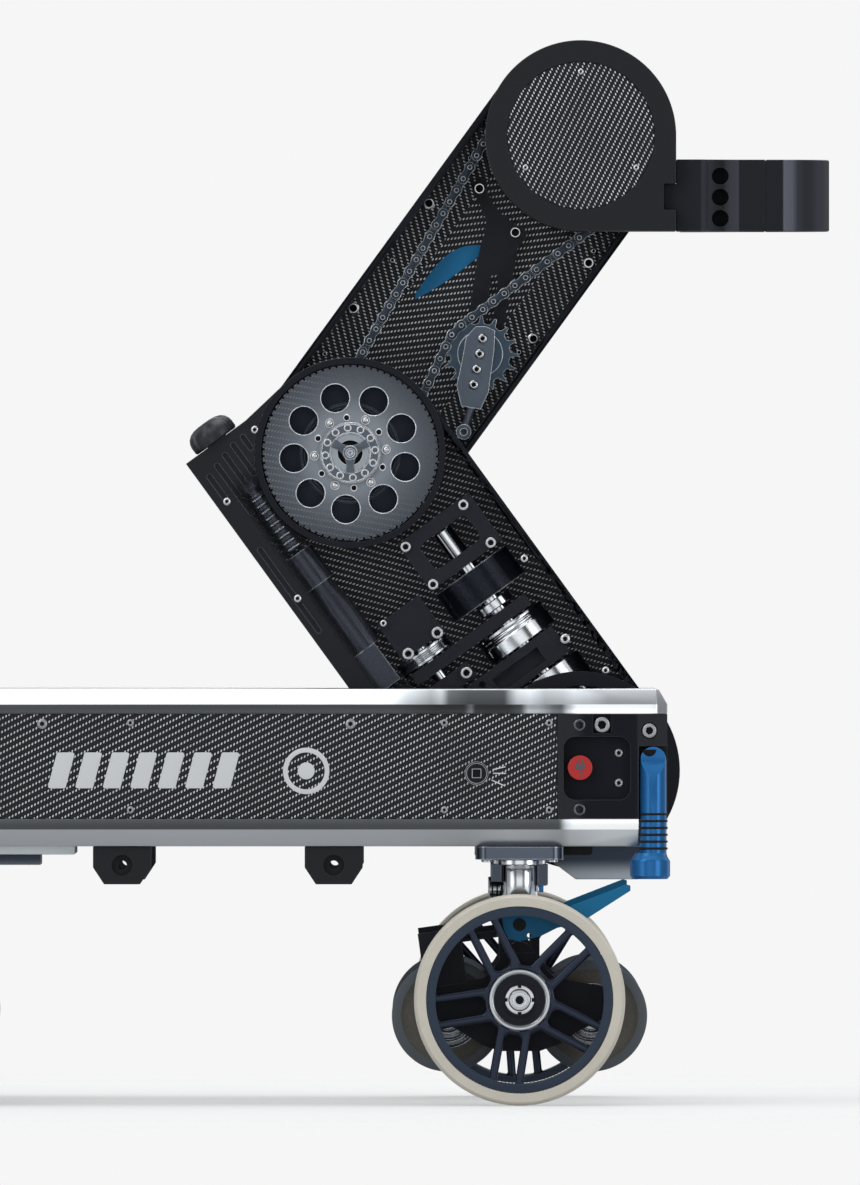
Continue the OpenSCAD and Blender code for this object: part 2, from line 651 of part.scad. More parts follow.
module elbow_sprocket() centred() color(c_steel) in_upper() difference() {
  union() {
    ycyl(0, 0, 0, 54, 28);
    ycyl(0, 0, 0, low_far - 4.1, 40);
    sprocket(elbow_teeth, 27);
  }
  ycyl(0, 0, -1, 55, pivot_r + fit);
}
module upper_arm_frame() centred() color(c_black) in_upper() {
  plate(up_near + cover_t, up_back) difference() {
    stadium(link_r);
    stadium(link_r - wall);
  }
  difference() {
    ycyl(link, 0, 60, up_back, 32);
    ycyl(link, 0, 59, up_far, pivot_r + fit);
  }
}
module upper_arm_back() centred() color(c_carbon) in_upper() plate(up_back, up_far) difference() {
  stadium(link_r);
  circle(14);
}
module upper_arm_cover() centred() color(c_smoke) in_upper()
  plate(up_near, up_near + cover_t) difference() {
    stadium(link_r);
    circle(46);
    translate([link, 0]) circle(24);
  }

// Chain path: tangents between the two sprockets, with the idler pushing the lower run inwards
elbow_pr = pitch_r(elbow_teeth);
head_pr = pitch_r(head_teeth);
idler_pr = pitch_r(idler_teeth);
elbow_c = [0, 0];
head_c = [link, 0];
// Direction from c1 to c2 turned by the angle whose cosine is reach / distance
function contact(c1, c2, reach, s) =
  let (d = c2 - c1) atan2(d[1], d[0]) + s * acos(reach / norm(d));
function on(c, r, a) = c + r * [cos(a), sin(a)];
outer_a = contact(elbow_c, head_c, elbow_pr - head_pr, 1);  // outer run, on both sprockets
elbow_a = contact(elbow_c, idler, elbow_pr + idler_pr, -1); // elbow sprocket to idler
head_a = contact(head_c, idler, head_pr + idler_pr, 1);     // head sprocket to idler
outer_start = on(elbow_c, elbow_pr, outer_a);
outer_end = on(head_c, head_pr, outer_a);

module bend(c, r, a0, a1) translate(c) intersection() {
  annulus(r + 3.9, r - 3.9);
  polygon(concat([[0, 0]], [for (i = [0 : 8]) on([0, 0], 160, a0 + (a1 - a0) * i / 8)]));
}
module run(p, q) translate(p) rotate(atan2(q[1] - p[1], q[0] - p[0]))
  translate([0, -4.4]) square([norm(q - p), 8.8]);
module chain_side() {
  run(outer_start, outer_end);
  run(on(elbow_c, elbow_pr, elbow_a), on(idler, idler_pr, elbow_a + 180));
  run(on(idler, idler_pr, head_a - 180), on(head_c, head_pr, head_a));
  // bends overlap the runs by 2 degrees
  bend(elbow_c, elbow_pr, outer_a - 2, 360 + elbow_a + 2);
  bend(idler, idler_pr, head_a + 180 - 2, elbow_a + 180 + 2);
  bend(head_c, head_pr, head_a - 2, outer_a + 2);
}
module head_chain() centred() color(c_steel) in_upper() {
  for (y = [chain_y - 6.4, chain_y + 4.2]) plate(y, y + 2.2) chain_side();
  // rollers of the outer run tie the two sides together
  outer = outer_end - outer_start;
  n = floor(norm(outer) / pitch);
  for (i = [4 : 3 : n - 3])
    let (p = outer_start + outer * i / n) ycyl(p[0], p[1], chain_y - 5, chain_y + 5, 3.2);
}

// Lever hung from the head end, following the rim of the head, down to the idler
module tensioner_lever() {
  difference() {
    plate(up_far - 15, up_far - 9) polygon(lever_outline);
    for (p = lever_bolts) ycyl(p[0], p[1], 60, 80, 4);
    plate(60, 80) hull() {
      translate([217.6, -12.4]) circle(3.4);
      translate([183, -31.6]) circle(3.4);
    }
  }
  for (p = lever_bolts) difference() {
    ycyl(p[0], p[1], up_far - 9, up_back, 6.5);
    ycyl(p[0], p[1], 60, 80, 4);
  }
}
module idler_carrier() {
  difference() {
    plate(chain_y - 17, chain_y - 9) polygon(carrier_outline);
    ycyl(idler[0], idler[1], 20, 60, idler_r);
  }
  ycyl(idler[0], idler[1], chain_y - 17, up_back, idler_r - fit);
}
module rod_end() {
  translate([104, chain_y - 13, -67.4]) rotate([0, 161, 0]) rotate([0, 90, 0])
    cylinder(r = 3.6, h = 19);
  difference() {
    ycyl(rod_eye[0], rod_eye[1], chain_y - 18, chain_y - 8, 7.2);
    ycyl(rod_eye[0], rod_eye[1], chain_y - 20, chain_y - 6, 3.5);
  }
  ycyl(rod_eye[0], rod_eye[1], chain_y - 8.2, up_back, 3.4);
  ycyl(rod_eye[0], rod_eye[1], chain_y - 9, chain_y - 6, 5);
}
module tensioner_arm() centred() color(c_black) in_upper() {
  tensioner_lever();
  idler_carrier();
  rod_end();
}
module tensioner_sprocket() centred() color(c_navy) in_upper() translate([idler[0], 0, idler[1]]) {
  sprocket(idler_teeth, idler_r + fit);
  difference() {
    ycyl(0, 0, chain_y - 7.5, chain_y - 3, 21.5);
    ycyl(0, 0, chain_y - 8, chain_y, idler_r + fit);
  }
}

// ---------- elbow gear ----------
gear_teeth = 78;
// One tooth: [fraction of the tooth angle, radius]
gear_tooth = [[0.06, 81.5], [0.3, 81.5], [0.36, 83.6], [1, 83.6]];
module gear_rim() difference() {
  plate(low_near - 2, low_near + 22) polygon([for (i = [0 : gear_teeth - 1], t = gear_tooth)
    on([0, 0], t[1], 360 / gear_teeth * (i + t[0]))]);
  ycyl(0, 0, low_near + 4, low_near + 23, 76);
  for (i = [0 : 8]) let (p = on([0, 0], 54, 25.5 + 40 * i - (180 - lift_angle)))
    ycyl(p[0], p[1], low_near - 3, low_near + 10, 13.5);
  ycyl(0, 0, low_near - 10, low_near + 10, 12);
}
module gear_shaft() difference() {
  union() {
    ycyl(0, 0, low_near - 6, low_near - 1.9, 29);
    ycyl(0, 0, low_near - 3, up_back, pivot_r - fit);
    ycyl(0, 0, up_far - 15, up_back, 38);
    ycyl(0, 0, low_near + 3, low_near + 12, 34);
  }
  ycyl(0, 0, low_near - 10, up_far, 12);
  for (i = [0 : 11]) let (p = on([0, 0], 23.4, 30 * i + 8))
    ycyl(p[0], p[1], low_near - 7, low_near - 4, 2.6);
}
module elbow_gear() centred() color(c_navy) in_lower() translate([link, 0, 0]) {
  gear_rim();
  gear_shaft();
}

// ---------- head ----------
bracket_x = 91.4;             // near edge of the bracket
split_x = column_x - 0.3;     // joint of bracket and cap
clamp_z = -91;
clamp_h = 68.4;

module head_outline(d) {
  circle(link_r - d);
  translate([0, -link_r + d]) square([link_r - d, link_r - d]);
}
module head_housing() centred() color(c_black) at_head() difference() {
  plate(low_near, low_far) head_outline(0);
  plate(low_near + 14, low_far - 14) head_outline(9);
  ycyl(0, 0, low_near - 1, low_near + 3, 70.4);
  ycyl(0, 0, -10, low_far + 1, pivot_r);
  // key slot for the bracket
  box(79.3, 92, low_near - 1, low_far + 1, -70.7, -45.9);
}
module head_disc() centred() color(c_carbon) at_head() difference() {
  ycyl(0, 0, low_near + 0.4, low_near + 2.9, 70);
  for (a = [90, 210, 330]) ycyl(61 * cos(a), 61 * sin(a), low_near, low_near + 3.5, 2);
}
// Bracket seen from above; its profile is [x from bracket_x, y]
module bracket_outline() difference() {
  polygon(concat(
    [for (p = [[0, -66], [24, -66], [28, -62], [30, -57], [62, -jaw]]) p + [bracket_x, 0]],
    [[split_x, -jaw], [split_x, jaw]],
    [for (p = [[62, jaw], [30, 57], [28, 62], [24, 66], [4, 66], [4, 14], [0, 14]])
      p + [bracket_x, 0]]));
  translate([column_x, 0]) circle(clamp_r);
}
module head_bracket() centred() color(c_black) at_head() difference() {
  union() {
    translate([0, 0, clamp_z]) linear_extrude(clamp_h) bracket_outline();
    box(79.6, bracket_x + 0.1, -66, low_back, -70.5, -46.1);
  }
  for (i = [0 : 2]) ycyl(133.2, -78.8 + 20.2 * i, -70, -24, 8);
}
module clamp_cap() centred() color(c_black) at_head()
  translate([0, 0, clamp_z]) linear_extrude(clamp_h) difference() {
    union() {
      translate([split_x, -jaw]) square([17.6, 2 * jaw]);
      intersection() {
        translate([column_x + cap_x, 0]) circle(jaw);
        translate([column_x + cap_x, -50]) square([60, 100]);
      }
    }
    translate([column_x, 0]) circle(clamp_r);
  }
module head_sprocket() centred() color(c_steel) at_head() difference() {
  union() {
    ycyl(0, 0, -8, up_far - 4.5, pivot_r - fit);
    sprocket(head_teeth, 19);
    ycyl(0, 0, chain_y - 8, chain_y + 8, 32);
    ycyl(0, 0, -9, -4.1, 34);
  }
  ycyl(0, 0, -20, up_far, 11);
  for (a = [0 : 60 : 300]) ycyl(54 * cos(a), 54 * sin(a), 30, 60, 12);
}

// ---------- parts by name ----------
function on_show(name) = node == "all" || node == name;
if (on_show("top_deck")) top_deck();
if (on_show("chassis_frame")) chassis_frame();
if (on_show("side_panels")) side_panels();
if (on_show("corner_blocks")) corner_blocks();
if (on_show("tow_lugs")) tow_lugs();
if (on_show("kingpin_flanges")) kingpin_flanges();
if (on_show("chassis_screws")) chassis_screws();
if (on_show("base_shaft")) base_shaft();
if (on_show("selector_knob")) selector_knob();
if (on_show("power_button")) power_button();
if (on_show("handle_near")) handle_near();
if (on_show("handle_far")) handle_far();
if (on_show("steer_fork_nr")) steer_fork_nr();
if (on_show("wheel_rim_nr")) wheel_rim_nr();
if (on_show("wheel_tyre_nr")) wheel_tyre_nr();
if (on_show("rail_wheel_a_nr")) rail_wheel_a_nr();
if (on_show("rail_wheel_b_nr")) rail_wheel_b_nr();
if (on_show("brake_lever_nr")) brake_lever_nr();
if (on_show("steer_fork_nl")) steer_fork_nl();
if (on_show("wheel_rim_nl")) wheel_rim_nl();
if (on_show("wheel_tyre_nl")) wheel_tyre_nl();
if (on_show("rail_wheel_a_nl")) rail_wheel_a_nl();
if (on_show("rail_wheel_b_nl")) rail_wheel_b_nl();
if (on_show("brake_lever_nl")) brake_lever_nl();
if (on_show("steer_fork_fr")) steer_fork_fr();
if (on_show("wheel_rim_fr")) wheel_rim_fr();
if (on_show("wheel_tyre_fr")) wheel_tyre_fr();
if (on_show("rail_wheel_a_fr")) rail_wheel_a_fr();
if (on_show("rail_wheel_b_fr")) rail_wheel_b_fr();
if (on_show("brake_lever_fr")) brake_lever_fr();
if (on_show("steer_fork_fl")) steer_fork_fl();
if (on_show("wheel_rim_fl")) wheel_rim_fl();
if (on_show("wheel_tyre_fl")) wheel_tyre_fl();
if (on_show("rail_wheel_a_fl")) rail_wheel_a_fl();
if (on_show("rail_wheel_b_fl")) rail_wheel_b_fl();
if (on_show("brake_lever_fl")) brake_lever_fl();
if (on_show("lower_arm_frame")) lower_arm_frame();
if (on_show("lower_arm_back")) lower_arm_back();
if (on_show("lower_arm_cover")) lower_arm_cover();
if (on_show("motor_housing_cover")) motor_housing_cover();
if (on_show("pivot_rings")) pivot_rings();
if (on_show("elbow_motor")) elbow_motor();
if (on_show("elbow_worm")) elbow_worm();
if (on_show("drive_bracket")) drive_bracket();
if (on_show("lift_motor")) lift_motor();
if (on_show("lift_spindle")) lift_spindle();
if (on_show("motor_pulley")) motor_pulley();
if (on_show("elbow_sprocket")) elbow_sprocket();
if (on_show("upper_arm_frame")) upper_arm_frame();
if (on_show("upper_arm_back")) upper_arm_back();
if (on_show("upper_arm_cover")) upper_arm_cover();
if (on_show("head_chain")) head_chain();
if (on_show("tensioner_arm")) tensioner_arm();
if (on_show("tensioner_sprocket")) tensioner_sprocket();
if (on_show("elbow_gear")) elbow_gear();
if (on_show("head_housing")) head_housing();
if (on_show("head_disc")) head_disc();
if (on_show("head_bracket")) head_bracket();
if (on_show("clamp_cap")) clamp_cap();
if (on_show("head_sprocket")) head_sprocket();
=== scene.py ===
"""Looks of a camera track dolly: materials, small parts, floor, lights and camera round its CAD.

Lengths are millimetres from the wheelbase centre unless a comment says otherwise: x runs along
the dolly, y across it and z up from the floor. The near side, which the camera sees, is -Y.
"""

import json
import math

import bmesh
import bpy
from mathutils import Matrix, Vector
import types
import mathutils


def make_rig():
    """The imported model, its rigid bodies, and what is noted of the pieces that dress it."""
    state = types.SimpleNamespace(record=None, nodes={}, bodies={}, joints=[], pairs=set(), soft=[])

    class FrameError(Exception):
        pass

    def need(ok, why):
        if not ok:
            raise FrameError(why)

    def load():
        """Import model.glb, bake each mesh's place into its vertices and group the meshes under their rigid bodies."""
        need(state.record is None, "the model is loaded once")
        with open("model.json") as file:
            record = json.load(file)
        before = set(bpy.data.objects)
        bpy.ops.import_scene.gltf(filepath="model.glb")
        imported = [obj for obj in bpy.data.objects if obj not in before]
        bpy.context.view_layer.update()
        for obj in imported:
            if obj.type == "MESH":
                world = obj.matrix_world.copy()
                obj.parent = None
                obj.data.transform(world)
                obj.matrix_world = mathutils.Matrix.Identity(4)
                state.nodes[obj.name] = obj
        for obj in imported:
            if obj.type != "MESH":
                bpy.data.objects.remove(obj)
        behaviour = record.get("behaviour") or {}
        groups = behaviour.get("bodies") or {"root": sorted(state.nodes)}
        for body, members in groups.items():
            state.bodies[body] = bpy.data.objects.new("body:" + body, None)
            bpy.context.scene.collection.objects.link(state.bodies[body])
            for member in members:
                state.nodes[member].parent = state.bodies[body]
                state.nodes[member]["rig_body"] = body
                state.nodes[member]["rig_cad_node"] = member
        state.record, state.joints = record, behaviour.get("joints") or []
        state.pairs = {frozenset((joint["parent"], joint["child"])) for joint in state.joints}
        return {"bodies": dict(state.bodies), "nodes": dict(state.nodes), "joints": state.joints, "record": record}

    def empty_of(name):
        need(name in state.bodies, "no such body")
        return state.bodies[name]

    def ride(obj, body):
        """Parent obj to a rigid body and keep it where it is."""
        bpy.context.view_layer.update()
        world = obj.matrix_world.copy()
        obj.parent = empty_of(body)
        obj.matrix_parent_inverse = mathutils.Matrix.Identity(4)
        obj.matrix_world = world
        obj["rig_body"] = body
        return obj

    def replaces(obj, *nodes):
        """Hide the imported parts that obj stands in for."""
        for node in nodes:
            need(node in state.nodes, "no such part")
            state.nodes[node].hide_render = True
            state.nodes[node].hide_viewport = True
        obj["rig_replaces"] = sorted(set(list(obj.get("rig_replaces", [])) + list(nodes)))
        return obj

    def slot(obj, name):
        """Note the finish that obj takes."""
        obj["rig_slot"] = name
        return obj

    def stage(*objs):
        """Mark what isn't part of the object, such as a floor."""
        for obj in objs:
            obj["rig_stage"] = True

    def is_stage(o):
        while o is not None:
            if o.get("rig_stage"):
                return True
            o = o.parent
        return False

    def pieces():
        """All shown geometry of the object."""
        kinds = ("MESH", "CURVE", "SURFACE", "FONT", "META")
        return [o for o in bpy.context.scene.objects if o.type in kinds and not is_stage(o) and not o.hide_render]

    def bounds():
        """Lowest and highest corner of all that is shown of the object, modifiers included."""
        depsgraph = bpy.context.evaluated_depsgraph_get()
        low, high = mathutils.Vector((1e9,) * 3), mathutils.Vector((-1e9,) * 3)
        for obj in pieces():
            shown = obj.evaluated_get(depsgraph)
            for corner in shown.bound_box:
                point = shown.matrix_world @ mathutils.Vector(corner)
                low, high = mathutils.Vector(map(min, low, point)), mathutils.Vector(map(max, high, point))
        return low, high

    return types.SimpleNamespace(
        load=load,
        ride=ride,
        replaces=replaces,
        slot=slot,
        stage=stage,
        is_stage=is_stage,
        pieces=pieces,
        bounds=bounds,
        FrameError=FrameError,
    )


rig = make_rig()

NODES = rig.load()["nodes"]
cad_lo, cad_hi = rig.bounds()
scene = bpy.context.scene

# ---------------------------------------------------------------- driving dimensions
MID = 78.3  # the scene's origin, in x from the wheelbase centre
LINK = 374.0  # pivot to pivot length of both arm links
LINK_ANGLE = math.radians(54)
COS, SIN = math.cos(LINK_ANGLE), math.sin(LINK_ANGLE)
BASE = (369.0, 316.0)  # pivots, as (x, z)
ELBOW = (BASE[0] - LINK * COS, BASE[1] + LINK * SIN)
HEAD = (BASE[0], BASE[1] + 2 * LINK * SIN)
LOWER_Y = -80.0  # near face of the lower link
UPPER_Y = 80.0  # far face of the upper link
HUB_Y = LOWER_Y - 6  # near face of the elbow hub
CHAIN_Y = 44.0  # middle plane of the chain
HALF_WIDTH = 350.0  # chassis half width
CORNER = 310.0  # steering axes, in x and y
SELECTOR = (269.3, 314.2)  # selector knob centre, (x, z)
BUTTON = (367.3, 319.8)  # power button centre, (x, z)
NEAR = (0, -1, 0)  # direction towards the camera side
SIDES = (("near", -1), ("far", 1))


def at(x, y, z):
    return Vector(((x - MID) / 1000, y / 1000, z / 1000))


def at_lower(u, y, v):
    """Lower link: u from the base pivot to the elbow, v towards the motor housing."""
    return at(BASE[0] - u * COS - v * SIN, y, BASE[1] + u * SIN - v * COS)


def at_upper(u, y, v):
    """Upper link: u from the elbow to the head, v at right angles, up and to the left."""
    return at(ELBOW[0] + u * COS - v * SIN, y, ELBOW[1] + u * SIN + v * COS)


def at_elbow(x, y, z):
    return at(ELBOW[0] + x, y, ELBOW[1] + z)


def at_head(x, y, z):
    return at(HEAD[0] + x, y, HEAD[1] + z)


def polar(radius, angle):
    return radius * math.cos(angle), radius * math.sin(angle)


def shift(outline, centre):
    return [(x + centre[0], z + centre[1]) for x, z in outline]


# ---------------------------------------------------------------- shader building
MAT = {}  # finished materials by name


class Shader:
    """One node tree; each method adds nodes and returns their output socket."""

    def __init__(self, tree):
        self.tree = tree
        tree.nodes.clear()

    def node(self, kind, **settings):
        node = self.tree.nodes.new("ShaderNode" + kind)
        for key, value in settings.items():
            setattr(node, key, value)
        return node

    def feed(self, socket, value):
        """Links a socket, or sets a number or a colour."""
        if isinstance(value, bpy.types.NodeSocket):
            self.tree.links.new(value, socket)
        elif socket.type == "RGBA":
            socket.default_value = (*value, 1)
        else:
            socket.default_value = value

    def math(self, operation, *terms, clamp=False):
        node = self.node("Math", operation=operation, use_clamp=clamp)
        for socket, term in zip(node.inputs, terms):
            self.feed(socket, term)
        return node.outputs[0]

    def plus(self, a, b):
        return self.math("ADD", a, b)

    def minus(self, a, b):
        return self.math("SUBTRACT", a, b)

    def times(self, a, b):
        return self.math("MULTIPLY", a, b)

    def scaled(self, value, gain, offset):
        return self.math("MULTIPLY_ADD", value, gain, offset)

    def absolute(self, value):
        return self.math("ABSOLUTE", value)

    def radius(self, a, b):
        return self.math("SQRT", self.plus(self.times(a, a), self.times(b, b)))

    def from_centre(self, x):
        """Distance along x from the wheelbase centre."""
        return self.absolute(self.plus(x, MID))

    def object_mm(self):
        """Object coordinates in millimetres."""
        node = self.node("VectorMath", operation="SCALE")
        node.inputs["Scale"].default_value = 1000
        self.feed(node.inputs[0], self.node("TexCoord").outputs["Object"])
        return node.outputs[0]

    def axes(self, vector):
        node = self.node("SeparateXYZ")
        self.feed(node.inputs[0], vector)
        return node.outputs

    def stretched(self, vector, factors):
        node = self.node("VectorMath", operation="MULTIPLY")
        node.inputs[1].default_value = factors
        self.feed(node.inputs[0], vector)
        return node.outputs[0]

    def noise(self, vector, scale, detail=3.0, rough=0.6):
        node = self.node("TexNoise")
        for key, value in (("Scale", scale), ("Detail", detail), ("Roughness", rough),
                           ("Vector", vector)):
            self.feed(node.inputs[key], value)
        return node.outputs["Fac"]

    def remap(self, value, span, to=(0, 1), kind="LINEAR"):
        """Maps span onto the range `to`, held at the ends."""
        node = self.node("MapRange", interpolation_type=kind)
        for socket, term in zip(node.inputs, (value, *span, *to)):
            self.feed(socket, term)
        return node.outputs[0]

    def ease(self, value, span, to=(0, 1)):
        """The same with smooth ends."""
        return self.remap(value, span, to, "SMOOTHSTEP")

    def ramp(self, fac, stops):
        node = self.node("ValToRGB")
        elements = node.color_ramp.elements
        for index in (1, 0):
            position, colour = stops[-index]
            elements[index].position, elements[index].color = position, (*colour, 1)
        for position, colour in stops[1:-1]:
            elements.new(position).color = (*colour, 1)
        self.feed(node.inputs[0], fac)
        return node.outputs[0]

    def tones(self, distance, span, table, tint):
        """Tinted grey levels from (distance, level) pairs over a span."""
        lo, hi = span
        stops = [((q - lo) / (hi - lo), tuple(level * t for t in tint)) for q, level in table]
        return self.ramp(self.remap(distance, span), stops)

    def mix(self, fac, a, b):
        node = self.node("Mix", data_type="RGBA")
        for index, value in ((0, fac), (6, a), (7, b)):
            self.feed(node.inputs[index], value)
        return node.outputs[2]

    def blend(self, fac, a, b):
        """Mix of two plain values."""
        node = self.node("Mix", data_type="FLOAT")
        for index, value in ((0, fac), (2, a), (3, b)):
            self.feed(node.inputs[index], value)
        return node.outputs[0]

    def bump(self, height, strength, distance=0.0002):
        """Relief; distance is in metres."""
        node = self.node("Bump")
        for key, value in (("Strength", strength), ("Distance", distance), ("Height", height)):
            self.feed(node.inputs[key], value)
        return node.outputs[0]

    def edges(self, radius):
        """1 along sharp edges, 0 on flats, from the bevelled normal; radius is in metres."""
        bevel = self.node("Bevel", samples=4)
        bevel.inputs["Radius"].default_value = radius
        dot = self.node("VectorMath", operation="DOT_PRODUCT")
        self.feed(dot.inputs[0], bevel.outputs[0])
        self.feed(dot.inputs[1], self.node("NewGeometry").outputs["Normal"])
        return self.ease(dot.outputs["Value"], (0.995, 0.88))


class Material(Shader):
    """A new material with one Principled surface."""

    SOCKETS = dict(colour="Base Color", rough="Roughness", metallic="Metallic", alpha="Alpha",
                   specular="Specular IOR Level", coat="Coat Weight",
                   coat_rough="Coat Roughness", sheen="Sheen Weight", normal="Normal",
                   glow="Emission Strength", glow_colour="Emission Color")

    def __init__(self, name):
        MAT[name] = bpy.data.materials.new(name)
        MAT[name].use_nodes = True
        super().__init__(MAT[name].node_tree)
        output = self.node("OutputMaterial")
        self.principled = self.node("BsdfPrincipled")
        self.feed(output.inputs[0], self.principled.outputs[0])

    def surface(self, **values):
        for key, value in values.items():
            self.feed(self.principled.inputs[self.SOCKETS[key]], value)


# ---------------------------------------------------------------- metals, paints and decals
# name, base colour, roughness, metallic, colour variation, grain scale per mm, bump strength,
# specular, glow of the edges (a painted highlight), edge wear and painted edge highlight: None or
# (strength, width in metres, colour of the worn and highlit edges or None for a paler base colour)
METALS = [
    ("black_anodised", (0.0105, 0.0112, 0.0155), 0.4, 0.2, 0.18, 1.4, 0.05, 0.12, 0,
     (0.6, 0.0007, (0.085, 0.09, 0.11))),
    ("black_powder", (0.0145, 0.015, 0.0175), 0.5, 0.0, 0.2, 2.2, 0.14, 0.14, 0,
     (0.55, 0.0008, (0.09, 0.095, 0.11))),
    ("motor_black", (0.010, 0.012, 0.019), 0.22, 0.55, 0.2, 1.0, 0.03, 0.3, 0.12,
     (0.95, 0.0011, (0.80, 0.84, 0.88))),
    ("polished_steel", (0.80, 0.82, 0.84), 0.12, 1.0, 0.06, 0.5, 0.02, 0.5, 0,
     (0.3, 0.0005, None)),
    ("machined_steel", (0.40, 0.43, 0.45), 0.26, 1.0, 0.1, 0.8, 0.06, 0.5, 0,
     (0.6, 0.0006, (0.8, 0.82, 0.84))),
    ("screw_steel", (0.56, 0.57, 0.58), 0.22, 1.0, 0.1, 1.0, 0.03, 0.5, 0,
     (0.3, 0.0003, None)),
    ("screw_satin", (0.33, 0.335, 0.345), 0.3, 0.9, 0.1, 1.0, 0.03, 0.5, 0,
     (0.7, 0.0004, (0.75, 0.76, 0.78))),
    # socket_dark: painted shade on the floors of screw sockets and holes
    ("socket_dark", (0.006, 0.006, 0.009), 0.6, 0.0, 0.2, 1.0, 0.05, 0.1, 0, None),
    ("blue_anodised", (0.016, 0.125, 0.33), 0.3, 0.5, 0.06, 1.4, 0.04, 0.25, 0,
     (0.5, 0.0009, (0.08, 0.29, 0.58))),
    ("blue_lever", (0.007, 0.125, 0.26), 0.4, 0.2, 0.08, 1.4, 0.04, 0.2, 0,
     (0.6, 0.0008, (0.04, 0.30, 0.50))),
    ("red_cap", (0.40, 0.026, 0.026), 0.4, 0.0, 0.06, 1.0, 0.03, 0.2, 0,
     (0.6, 0.0009, (0.58, 0.12, 0.11))),
    ("rim_dark", (0.026, 0.038, 0.060), 0.36, 0.35, 0.1, 1.0, 0.03, 0.25, 0,
     (0.75, 0.0008, (0.15, 0.18, 0.23))),
    ("rim_spokes", (0.020, 0.026, 0.044), 0.2, 0.75, 0.15, 0.6, 0.03, 0.4, 0,
     (0.8, 0.0012, (0.24, 0.27, 0.34))),
    ("chain_links", (0.030, 0.042, 0.058), 0.34, 0.55, 0.15, 0.9, 0.04, 0.3, 0.60,
     (1.0, 0.0007, (0.86, 0.90, 0.94))),
    ("chain_pins", (0.022, 0.028, 0.040), 0.4, 0.3, 0.15, 0.9, 0.03, 0.2, 0,
     (0.8, 0.0005, (0.55, 0.60, 0.65))),
    ("drive_plate_grey", (0.020, 0.0205, 0.026), 0.48, 0.0, 0.12, 1.4, 0.04, 0.12, 0,
     (0.6, 0.0007, (0.10, 0.105, 0.125))),
    ("pale_alloy", (0.085, 0.10, 0.125), 0.3, 0.5, 0.12, 0.8, 0.04, 0.5, 0.75,
     (0.95, 0.00078, (0.88, 0.92, 0.95))),
    ("sprocket_blue_grey", (0.045, 0.075, 0.105), 0.35, 0.6, 0.12, 0.8, 0.04, 0.5, 0.60,
     (0.95, 0.0008, (0.80, 0.85, 0.90))),
    ("black_rubber", (0.006, 0.006, 0.007), 0.6, 0.0, 0.2, 1.5, 0.1, 0.2, 0, None),
    ("decal_grey", (0.56, 0.57, 0.58), 0.5, 0.0, 0.04, 1.2, 0.02, 0.2, 0, None),
    ("decal_dark", (0.10, 0.085, 0.095), 0.5, 0.0, 0.04, 1.2, 0.02, 0.2, 0, None),
    ("decal_blue", (0.014, 0.20, 0.44), 0.45, 0.0, 0.06, 1.2, 0.02, 0.2, 0, None),
    ("hub_plate", (0.020, 0.026, 0.042), 0.35, 0.3, 0.15, 0.9, 0.04, 0.15, 0,
     (0.95, 0.0011, (0.26, 0.30, 0.36))),
    ("worm_black", (0.060, 0.066, 0.085), 0.24, 0.7, 0.15, 0.9, 0.04, 0.4, 0.16,
     (0.95, 0.0009, (0.80, 0.84, 0.90))),
    ("knob_black", (0.010, 0.011, 0.016), 0.4, 0.2, 0.08, 1.2, 0.02, 0.55, 0, None),
    ("worm_satin", (0.085, 0.093, 0.115), 0.32, 0.8, 0.08, 1.0, 0.01, 0.4, 0, None),
    ("polished_bezel", (0.42, 0.44, 0.46), 0.14, 1.0, 0.05, 0.5, 0.01, 0.5, 0,
     (0.3, 0.0005, None)),
    ("polished_tube", (0.62, 0.64, 0.66), 0.16, 1.0, 0.04, 0.5, 0.01, 0.5, 0,
     (0.3, 0.0005, None)),
    ("slate_steel", (0.060, 0.070, 0.092), 0.3, 0.8, 0.08, 1.2, 0.02, 0.5, 0,
     (0.8, 0.0007, (0.55, 0.60, 0.64))),
    ("flange_steel", (0.085, 0.098, 0.125), 0.22, 1.0, 0.06, 1.2, 0.01, 0.5, 0,
     (0.95, 0.0016, (0.78, 0.82, 0.84))),
]
MIDTONES = (0.3, 0.7)  # the part of a noise that carries its contrast


